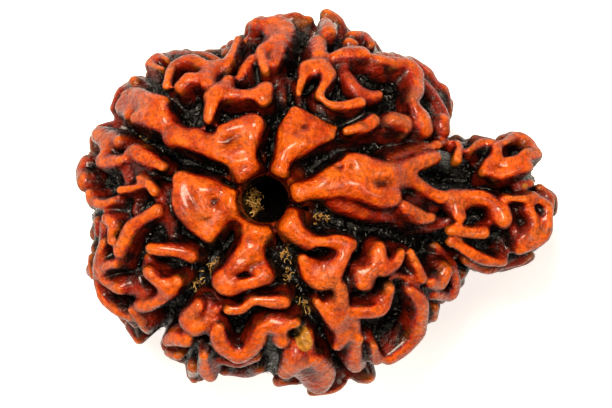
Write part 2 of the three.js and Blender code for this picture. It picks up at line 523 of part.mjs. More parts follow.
// Direction in which the ground falls away outwards at a point.
function outwardAt(x, y, z) {
  const d = 0.05;
  return new THREE.Vector3(
    groundHeight(x + d, y, z) - groundHeight(x - d, y, z),
    groundHeight(x, y + d, z) - groundHeight(x, y - d, z),
    groundHeight(x, y, z + d) - groundHeight(x, y, z - d),
  ).normalize();
}

// The nearest point that lies `over` the ground.
function settle(point, over) {
  const out = point.clone();
  for (let i = 0; i < 3; i++) {
    const gap = groundHeight(out.x, out.y, out.z) - over;
    out.addScaledVector(outwardAt(out.x, out.y, out.z), -gap);
  }
  return out;
}

// True if a point shows past the outline that the traced ridges give from above.
function showsFromAbove(x, y, traced) {
  if (groundHeight(x, y, 0) < 0) return false;
  return traced.every((point) => Math.hypot(x - point.x, y - point.y) > point.width + WANDER.overhang);
}

// Ridges that wander over the ground where no other ridge stands.
function wanderingSpines(placed, traced) {
  const taken = placed.flat();
  const added = [];
  const isClear = (p, clearance) =>
    taken.every((q) => Math.hypot(p.x - q.x, p.y - q.y, p.z - q.z) > clearance);
  const stand = (point) => {
    if (point.z > WANDER.highest) return null;
    for (const groove of GROOVES) {
      const room = planDistanceToLine(point.x, point.y, groove.line);
      if (room < WANDER.grooveClearance * groove.halfWidth + WANDER.halfWidth) return null;
    }
    for (const crest of WANDER.crests) {
      const at = settle(point, crest - WANDER.halfWidth);
      const out = outwardAt(at.x, at.y, at.z);
      const [edgeX, edgeY] = [at.x + WANDER.halfWidth * out.x, at.y + WANDER.halfWidth * out.y];
      if (!showsFromAbove(edgeX, edgeY, traced)) {
        return axisPoint(at, WANDER.halfWidth, crest - WANDER.halfWidth);
      }
    }
    return null;
  };
  const walk = (start, sense) => {
    const way = [];
    let at = new THREE.Vector3(start.x, start.y, start.z);
    for (let step = 0; step < WANDER.steps; step++) {
      const flow = new THREE.Vector3(
        Math.sin(0.9 * at.y + 0.5 * at.z),
        Math.sin(0.8 * at.z + 0.6 * at.x + 1),
        Math.sin(0.7 * at.x + 0.9 * at.y + 2),
      );
      const heading = outwardAt(at.x, at.y, at.z).cross(flow).normalize();
      const next = stand(at.clone().addScaledVector(heading, sense * WANDER.stride));
      if (next === null || !isClear(next, WANDER.clearance)) break;
      way.push(next);
      at = new THREE.Vector3(next.x, next.y, next.z);
    }
    return way;
  };
  const golden = Math.PI * (3 - Math.sqrt(5));
  for (let i = 0; i < WANDER.starts; i++) {
    const up = 1 - (2 * ((i * 7) % WANDER.starts) + 1) / WANDER.starts;
    const flat = Math.sqrt(1 - up * up);
    const onTrunk = i % WANDER.everyOnTrunk === 0;
    const centre = onTrunk ? TRUNK : { ...BODY, z: 0 };
    const reach = onTrunk ? TRUNK.width : BODY.radius;
    const direction = new THREE.Vector3(flat * Math.cos(i * golden), flat * Math.sin(i * golden), up);
    const from = new THREE.Vector3(centre.x, centre.y, centre.z).addScaledVector(direction, reach);
    const start = stand(settle(settle(from, 1), 1));
    if (start === null || !isClear(start, WANDER.spacing)) continue;
    const way = [...walk(start, -1).reverse(), start, ...walk(start, 1)];
    if (way.length < 3) continue;
    taken.push(...way);
    added.push(way);
  }
  return added;
}

function allSpines() {
  const spines = [];
  const traced = [];
  for (const [level, crest] of Object.entries(CRESTS)) {
    for (const [name, lobe] of Object.entries(LOBES)) {
      for (const points of RIDGES[name][level] ?? []) {
        const upper = spine(points, crest, 1);
        spines.push(upper);
        traced.push(...upper);
        if (points.every(isInner)) {
          const turned = points.map((point) => turnOver(point, lobe, LOBES[lobe.under]));
          spines.push(spine(turned, crest, -1));
        }
      }
    }
    for (const points of TRUNK_RIDGES[level] ?? []) {
      const upper = spine(points, crest, 1);
      spines.push(upper);
      traced.push(...upper);
      const lower = upper.map((point) => ({ ...point, z: 2 * TRUNK.z - point.z }));
      const clear = upper.every((point) => point.z - TRUNK.z > UNDERSIDE.trunkClearance / 2);
      if (clear) spines.push(lower);
    }
  }
  return [...spines, ...wanderingSpines(spines, traced)];
}

// The lattice on which the seed's form is worked out.
const LOWEST = { x: -13.0, y: -13.4, z: -11.6 };
const COUNT = { x: 108, y: 92, z: 78 };
const STRIDE = { x: 1, y: COUNT.x, z: COUNT.x * COUNT.y };

function latticeRange(low, high, axis) {
  const first = Math.ceil((low - LOWEST[axis]) / LATTICE);
  const last = Math.floor((high - LOWEST[axis]) / LATTICE);
  return [Math.max(first, 0), Math.min(last, COUNT[axis] - 1)];
}

function forEachNode(box, visit) {
  const [x0, x1] = box.x;
  const [y0, y1] = box.y;
  const [z0, z1] = box.z;
  for (let k = z0; k <= z1; k++) {
    for (let j = y0; j <= y1; j++) {
      for (let i = x0; i <= x1; i++) {
        const x = LOWEST.x + i * LATTICE;
        const y = LOWEST.y + j * LATTICE;
        const z = LOWEST.z + k * LATTICE;
        visit(i + j * STRIDE.y + k * STRIDE.z, x, y, z);
      }
    }
  }
}

// Distance to one stretch of a ridge: a round crest over a wall that flares
// towards its foot.
function stretchDistance(x, y, z, { height, level }, from, to) {
  const dx = to.x - from.x;
  const dy = to.y - from.y;
  const dz = to.z - from.z;
  const length = Math.max(dx * dx + dy * dy + dz * dz, 1e-9);
  const along = ((x - from.x) * dx + (y - from.y) * dy + (z - from.z) * dz) / length;
  const t = Math.min(Math.max(along, 0), 1);
  const away = Math.hypot(x - from.x - t * dx, y - from.y - t * dy, z - from.z - t * dz);
  const width = from.width + t * (to.width - from.width);
  const rise = level - from.level - t * (to.level - from.level);
  if (rise >= 0) return away - width;
  const aside = Math.sqrt(Math.max(away * away - rise * rise, 0));
  return Math.max(aside - width + RIDGE.flare * rise, -height - RIDGE.root);
}

// Signed distance to the seed's surface at every node of the lattice.
function seedField() {
  const size = COUNT.x * COUNT.y * COUNT.z;
  const all = { x: [0, COUNT.x - 1], y: [0, COUNT.y - 1], z: [0, COUNT.z - 1] };
  const ground = new Float32Array(size);
  const smooth = new Float32Array(size);
  forEachNode(all, (node, x, y, z) => {
    ground[node] = groundHeight(x, y, z);
    smooth[node] = smoothHeight(x, y, z);
  });
  const far = 10;
  const ridges = new Float32Array(size).fill(far);
  const one = new Float32Array(size).fill(far);
  for (const points of allSpines()) {
    const touched = [];
    for (let i = 0; i + 1 < points.length; i++) {
      const [from, to] = [points[i], points[i + 1]];
      const depth = Math.max(from.over, to.over) + RIDGE.root;
      const reach = Math.max(from.width, to.width) + RIDGE.flare * depth + RIDGE.footBlend;
      const margin = Math.hypot(depth, reach);
      const box = {};
      for (const axis of ["x", "y", "z"]) {
        const low = Math.min(from[axis], to[axis]) - margin;
        const high = Math.max(from[axis], to[axis]) + margin;
        box[axis] = latticeRange(low, high, axis);
      }
      forEachNode(box, (node, x, y, z) => {
        const over = { height: ground[node], level: smooth[node] };
        const distance = stretchDistance(x, y, z, over, from, to);
        if (one[node] === far) touched.push(node);
        one[node] = Math.min(one[node], distance);
      });
    }
    for (const node of touched) {
      ridges[node] = blend(ridges[node], one[node], RIDGE.blend);
      one[node] = far;
    }
  }
  return ground.map((height, node) => blend(height, ridges[node], RIDGE.footBlend) - FULLNESS);
}

// The field with each node averaged with its neighbours along each axis.
function soften(field) {
  let soft = field;
  for (const axis of ["x", "y", "z"]) {
    const step = STRIDE[axis];
    const sharp = soft;
    soft = sharp.map((value, node) => {
      const before = sharp[node - step] ?? value;
      const after = sharp[node + step] ?? value;
      return (before + 2 * value + after) / 4;
    });
  }
  return soft;
}

// Closed surface where the field is zero, from the six tetrahedra of each cell.
function surfaceOf(field) {
  const corners = [[1, 2, 4], [2, 1, 4], [4, 2, 1], [2, 4, 1], [1, 4, 2], [4, 1, 2]];
  const offset = (corner) =>
    (corner & 1 ? STRIDE.x : 0) + (corner & 2 ? STRIDE.y : 0) + (corner & 4 ? STRIDE.z : 0);
  const points = [];
  const faces = [];
  const made = new Map();
  const place = (node) => [
    LOWEST.x + (node % STRIDE.y) * LATTICE,
    LOWEST.y + (Math.floor(node / STRIDE.y) % COUNT.y) * LATTICE,
    LOWEST.z + Math.floor(node / STRIDE.z) * LATTICE,
  ];
  const crossing = (a, b) => {
    const key = Math.min(a, b) * field.length + Math.max(a, b);
    if (!made.has(key)) {
      const t = Math.min(Math.max(field[a] / (field[a] - field[b]), 0.02), 0.98);
      const [from, to] = [place(a), place(b)];
      made.set(key, points.length);
      points.push(from.map((value, axis) => value + t * (to[axis] - value)));
    }
    return made.get(key);
  };
  const centre = (nodes) => {
    const sum = new THREE.Vector3();
    for (const node of nodes) sum.add(new THREE.Vector3(...place(node)));
    return sum.divideScalar(nodes.length);
  };
  const addFace = (a, b, c, outward) => {
    const [p, q, r] = [a, b, c].map((index) => new THREE.Vector3(...points[index]));
    const normal = q.sub(p).cross(r.sub(p));
    faces.push(normal.dot(outward) < 0 ? [a, c, b] : [a, b, c]);
  };
  const cut = (nodes) => {
    const inside = nodes.filter((node) => field[node] < 0);
    const outside = nodes.filter((node) => field[node] >= 0);
    if (inside.length === 0 || outside.length === 0) return;
    const outward = centre(outside).sub(centre(inside));
    if (inside.length === 2) {
      const [a, b] = inside;
      const [c, d] = outside;
      const ring = [crossing(a, c), crossing(a, d), crossing(b, d), crossing(b, c)];
      addFace(ring[0], ring[1], ring[2], outward);
      addFace(ring[0], ring[2], ring[3], outward);
      return;
    }
    const [lone, others] = inside.length === 1 ? [inside[0], outside] : [outside[0], inside];
    addFace(...others.map((node) => crossing(lone, node)), outward);
  };
  for (let k = 0; k + 1 < COUNT.z; k++) {
    for (let j = 0; j + 1 < COUNT.y; j++) {
      for (let i = 0; i + 1 < COUNT.x; i++) {
        const base = i + j * STRIDE.y + k * STRIDE.z;
        let inside = 0;
        for (let corner = 0; corner < 8; corner++) {
          if (field[base + offset(corner)] < 0) inside++;
        }
        if (inside === 0 || inside === 8) continue;
        for (const [first, second] of corners) {
          cut([base, base + offset(first), base + offset(first | second), base + offset(7)]);
        }
      }
    }
  }
  return { points, faces };
}

// The largest connected surface, without loose scraps and sealed hollows.
function largestShell({ points, faces }) {
  const parent = points.map((_, index) => index);
  const root = (index) => {
    let at = index;
    while (parent[at] !== at) {
      parent[at] = parent[parent[at]];
      at = parent[at];
    }
    return at;
  };
  for (const [a, b, c] of faces) {
    parent[root(a)] = root(b);
    parent[root(b)] = root(c);
  }
  const count = new Map();
  for (const [a] of faces) count.set(root(a), (count.get(root(a)) ?? 0) + 1);
  const largest = [...count.entries()].sort((p, q) => q[1] - p[1])[0][0];
  return { points, faces: faces.filter(([a]) => root(a) === largest) };
}

// A heap of candidate edges, cheapest first.
class EdgeQueue {
  constructor() {
    this.items = [];
  }

  push(item) {
    const { items } = this;
    items.push(item);
    let at = items.length - 1;
    while (at > 0) {
      const above = (at - 1) >> 1;
      if (items[above].cost <= items[at].cost) break;
      [items[above], items[at]] = [items[at], items[above]];
      at = above;
    }
  }

  pop() {
    const { items } = this;
    const top = items[0];
    const last = items.pop();
    if (items.length === 0) return top;
    items[0] = last;
    let at = 0;
    for (;;) {
      let least = 2 * at + 1;
      if (least >= items.length) break;
      if (least + 1 < items.length && items[least + 1].cost < items[least].cost) least++;
      if (items[at].cost <= items[least].cost) break;
      [items[least], items[at]] = [items[at], items[least]];
      at = least;
    }
    return top;
  }
}

// Fewer, larger triangles where the surface is flat: edges are drawn together,
// least change first, by the sum of squared distances to the planes they join.
class Thinner {
  constructor({ points, faces }) {
    this.points = points.map((point) => new THREE.Vector3(...point));
    this.faces = faces;
    this.alive = faces.length;
    this.age = new Int32Array(points.length);
    this.facesOf = points.map(() => new Set());
    this.planes = points.map(() => new Float64Array(10));
    faces.forEach((face, index) => {
      for (const corner of face) this.facesOf[corner].add(index);
      this.addPlane(face);
    });
    this.queue = new EdgeQueue();
  }

  addPlane(face) {
    const [p, q, r] = face.map((index) => this.points[index]);
    const normal = new THREE.Vector3().subVectors(q, p).cross(r.clone().sub(p));
    const area = normal.length();
    if (area < 1e-12) return;
    normal.divideScalar(area);
    const weight = p.z > 0 ? area * UPPER_CARE : area;
    const plane = [normal.x, normal.y, normal.z, -normal.dot(p)];
    for (const corner of face) {
      let slot = 0;
      for (let i = 0; i < 4; i++) {
        for (let j = i; j < 4; j++) this.planes[corner][slot++] += weight * plane[i] * plane[j];
      }
    }
  }

  neighbours(vertex) {
    const out = new Set();
    for (const face of this.facesOf[vertex]) {
      for (const corner of this.faces[face]) out.add(corner);
    }
    out.delete(vertex);
    return out;
  }

  error(q, { x, y, z }) {
    return (
      q[0] * x * x + 2 * q[1] * x * y + 2 * q[2] * x * z + 2 * q[3] * x +
      q[4] * y * y + 2 * q[5] * y * z + 2 * q[6] * y + q[7] * z * z + 2 * q[8] * z + q[9]
    );
  }

  // The best place for the point that an edge shrinks to.
  target(a, b) {
    const q = this.planes[a].map((value, index) => value + this.planes[b][index]);
    const middle = this.points[a].clone().add(this.points[b]).multiplyScalar(0.5);
    const length = this.points[a].distanceTo(this.points[b]);
    const matrix = new THREE.Matrix3().set(q[0], q[1], q[2], q[1], q[4], q[5], q[2], q[5], q[7]);
    const trace = q[0] + q[4] + q[7];
    const choices = [this.points[a], this.points[b], middle];
    if (Math.abs(matrix.determinant()) > 1e-4 * trace ** 3) {
      const best = new THREE.Vector3(-q[3], -q[6], -q[8]).applyMatrix3(matrix.invert());
      if (best.distanceTo(middle) < length) choices.push(best);
    }
    const costs = choices.map((place) => this.error(q, place));
    const cost = Math.min(...costs);
    return { place: choices[costs.indexOf(cost)].clone(), cost: cost + 1e-4 * length ** 4, q };
  }

  enqueue(a, b) {
    const { place, cost, q } = this.target(a, b);
    this.queue.push({ a, b, place, cost, q, ages: this.age[a] + this.age[b] });
  }

  // True if moving a vertex turns one of its own faces over or makes a sliver.
  spoils(vertex, other, place) {
    for (const index of this.facesOf[vertex]) {
      const face = this.faces[index];
      if (face.includes(other)) continue;
      const [p, q, r] = face.map((corner) => this.points[corner]);
      const [u, v, w] = face.map((corner) => (corner === vertex ? place : this.points[corner]));
      const before = q.clone().sub(p).cross(r.clone().sub(p));
      const after = v.clone().sub(u).cross(w.clone().sub(u));
      if (before.dot(after) < 0.2 * before.length() * after.length()) return true;
      const longest = Math.max(u.distanceTo(v), v.distanceTo(w), w.distanceTo(u));
      if (after.length() < 0.04 * longest * longest) return true;
    }
    return false;
  }

  shrink({ a, b, place, q }) {
    const near = this.neighbours(a);
    const shared = [...this.neighbours(b)].filter((vertex) => near.has(vertex));
    if (shared.length !== 2) return;
    if (this.spoils(a, b, place) || this.spoils(b, a, place)) return;
    for (const index of [...this.facesOf[b]]) {
      const face = this.faces[index];
      if (face.includes(a)) {
        for (const corner of face) this.facesOf[corner].delete(index);
        this.faces[index] = null;
        this.alive--;
      } else {
        this.faces[index] = face.map((corner) => (corner === b ? a : corner));
        this.facesOf[a].add(index);
      }
    }
    this.facesOf[b].clear();
    this.points[a] = place;
    this.planes[a] = q;
    this.age[a]++;
    this.age[b] += 1e6;
    for (const vertex of this.neighbours(a)) this.enqueue(a, vertex);
  }

  run(target) {
    let before = Infinity;
    while (this.alive > target && this.alive < before) {
      before = this.alive;
      this.points.forEach((_, a) => {
        for (const b of this.neighbours(a)) if (a < b) this.enqueue(a, b);
      });
      while (this.alive > target && this.queue.items.length > 0) {
        const edge = this.queue.pop();
        if (edge.ages === this.age[edge.a] + this.age[edge.b]) this.shrink(edge);
      }
    }
    return { points: this.points, faces: this.faces.filter((face) => face !== null) };
  }
}

function solidOf(points, faces) {
  const slots = new Map();
  const vertProperties = [];
  const triVerts = [];
  for (const corner of faces.flat()) {
    if (!slots.has(corner)) {
      slots.set(corner, slots.size);
      vertProperties.push(points[corner].x, points[corner].y, points[corner].z);
    }
    triVerts.push(slots.get(corner));
  }
  const mesh = { numProp: 3, vertProperties: new Float32Array(vertProperties) };
  return new wasm.Manifold(new wasm.Mesh({ ...mesh, triVerts: new Uint32Array(triVerts) }));
}

// A closed three.js geometry as a solid, with its shared corners merged.
function solidFrom(geometry) {
  const at = geometry.attributes.position;
  const order = geometry.index.array;
  const points = [];
  const slots = new Map();
  const slotOf = [];
  for (let i = 0; i < at.count; i++) {
    const point = new THREE.Vector3().fromBufferAttribute(at, i);
    const key = point.toArray().map((value) => Math.round(value * 1e4)).join();
    if (!slots.has(key)) {
      slots.set(key, points.length);
      points.push(point);
    }
    slotOf.push(slots.get(key));
  }
  const faces = [];
  for (let i = 0; i < order.length; i += 3) {
    const face = [slotOf[order[i]], slotOf[order[i + 1]], slotOf[order[i + 2]]];
    if (new Set(face).size === 3) faces.push(face);
  }
  return solidOf(points, faces);
}

// The hole: a funnel below the upper mouth, then a round bore to the lower one.
function boreSolid(top, bottom) {
  const past = 3;
  const profile = [
    [0, bottom - past],
    [BORE.lowerMouth, bottom - past],
    [BORE.lowerMouth, bottom + 1],
    [BORE.throat, bottom + 3],
    [BORE.throat, top - BORE.funnel],
    [BORE.mouth, top],
    [BORE.mouth, top + past],
    [0, top + past],
  ];
  const geometry = new THREE.LatheGeometry(profile.map(([r, z]) => new THREE.Vector2(r, z)), 18);
  geometry.rotateX(90 * RAD);
  geometry.translate(0, 0, -top);
  geometry.rotateY(-BORE.lean * RAD);
  geometry.translate(0, 0, top);
  return solidFrom(geometry);
}

function flatCutSolid(level) {
  const side = 60;
  const geometry = new THREE.BoxGeometry(side, side, side);
  geometry.translate(0, 0, level - side / 2);
  return solidFrom(geometry);
}

function lowestOf(points, faces) {
  return Math.min(...faces.map((face) => Math.min(...face.map((corner) => points[corner].z))));
}

const rough = largestShell(surfaceOf(soften(soften(seedField()))));
const thinned = new Thinner(rough).run(TRIANGLES);
const restLevel = lowestOf(thinned.points, thinned.faces) + FLAT_CUT;
const mouthLevel = BODY.halfHeight - POLE.depth;
const solid = solidOf(thinned.points, thinned.faces)
  .subtract(boreSolid(mouthLevel, -mouthLevel))
  .subtract(flatCutSolid(restLevel));
const finished = solid.getMesh();

const geometry = new THREE.BufferGeometry();
geometry.setAttribute("position", new THREE.BufferAttribute(finished.vertProperties, 3));
geometry.setIndex(new THREE.BufferAttribute(finished.triVerts, 1));
geometry.computeBoundingBox();
const { min, max } = geometry.boundingBox;
geometry.translate(-(min.x + max.x) / 2, -(min.y + max.y) / 2, -min.z);
geometry.computeVertexNormals();

const material = new THREE.MeshStandardMaterial({
  color: COLOUR.wood,
  roughness: COLOUR.roughness,
  metalness: COLOUR.metalness,
});
const seed = new THREE.Mesh(geometry, material);
seed.name = "rudraksha_seed";

const group = new THREE.Group();
group.add(seed);

export default group;
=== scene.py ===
"""A rudraksha seed, the dried stone of a fruit, lying on its lower pole and seen from above.

The seed is one piece of wood-hard shell: six lobes round a hole, a trunk-like growth at one
side, and a labyrinth of rounded ridges over all of it, orange on the crests and black between
them, where short curled fibres and a little straw are left of the fruit.

Places on the seed are in millimetres, in plan from the mouth of the hole, x towards the trunk,
and heights from the seed's own middle plane. The finished meshes are in metres, in the frame.
"""

import logging
import math
from dataclasses import dataclass, field
from enum import Enum

import bpy
import numpy as np
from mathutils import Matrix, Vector


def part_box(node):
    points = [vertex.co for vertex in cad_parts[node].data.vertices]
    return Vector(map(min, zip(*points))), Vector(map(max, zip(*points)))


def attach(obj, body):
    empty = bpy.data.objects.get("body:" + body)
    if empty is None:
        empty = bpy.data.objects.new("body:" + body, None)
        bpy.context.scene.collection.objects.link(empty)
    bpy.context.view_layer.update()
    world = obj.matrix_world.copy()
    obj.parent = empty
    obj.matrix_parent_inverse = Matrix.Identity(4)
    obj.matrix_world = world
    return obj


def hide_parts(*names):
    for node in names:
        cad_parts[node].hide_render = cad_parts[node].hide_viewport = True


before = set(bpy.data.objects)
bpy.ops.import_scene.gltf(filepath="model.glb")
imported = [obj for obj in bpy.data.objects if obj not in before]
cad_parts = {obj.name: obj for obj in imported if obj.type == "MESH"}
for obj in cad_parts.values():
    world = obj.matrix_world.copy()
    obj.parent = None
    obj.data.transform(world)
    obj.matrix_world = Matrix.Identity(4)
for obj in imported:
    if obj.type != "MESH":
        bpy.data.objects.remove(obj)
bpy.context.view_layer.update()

LOG = logging.getLogger("rudraksha_seed")
NODE = "rudraksha_seed"
BODY_NAME = "root"
MM = 0.001

Point = tuple[float, float]
Chain = list[tuple[float, float, float]]
Corner = tuple[float, float, float]


class Crest(Enum):
    """Height of a ridge's crest over the ground that it stands on, in millimetres."""

    TALL = 1.95
    PLATE = 1.7
    MIDDLE = 1.5
    WEB = 1.2
    LOW = 1.05
    SHELF = 0.8


@dataclass(frozen=True)
class Lobe:
    """A lobe between two grooves, by their azimuths in degrees, and the one that repeats below."""

    start: float
    end: float
    under: str


LOBES = {
    "a": Lobe(79, 152, "b"),
    "b": Lobe(152, 227, "a"),
    "c": Lobe(227, 290, "f"),
    "d": Lobe(290, 344, "e"),
    "e": Lobe(344, 390, "d"),
    "f": Lobe(30, 79, "c"),
}


@dataclass(frozen=True)
class Groove:
    """A groove's half-width and its centre line in plan, from the hole outwards."""

    half_width: float
    line: list[Point]


GROOVES = [
    Groove(0.5, [(0.3, 1.6), (1.1, 5.0), (1.5, 6.9), (1.95, 8.75), (2.4, 12.5)]),
    Groove(0.6, [(-1.3, 0.8), (-4.1, 2.3), (-6.0, 3.0), (-7.55, 3.9), (-11.5, 5.8)]),
    Groove(0.65, [(-1.6, -1.55), (-3.8, -3.9), (-5.7, -6.25), (-8.4, -10.5)]),
    Groove(0.65, [(0.55, -1.4), (1.3, -4.05), (2.75, -7.2), (4.6, -10.9), (5.2, -12.8)]),
    Groove(0.65, [(1.8, -0.45), (3.4, -0.95), (7.1, -2.2), (10.25, -3.1), (11.2, -3.7)]),
    Groove(0.6, [(1.6, 1.05), (2.75, 1.9), (4.6, 3.1), (7.1, 3.55), (11.2, 3.6)]),
    Groove(0.35, [(10.4, 1.4), (12.75, 1.1), (14.6, 0.7), (18.6, 0.7)]),
]

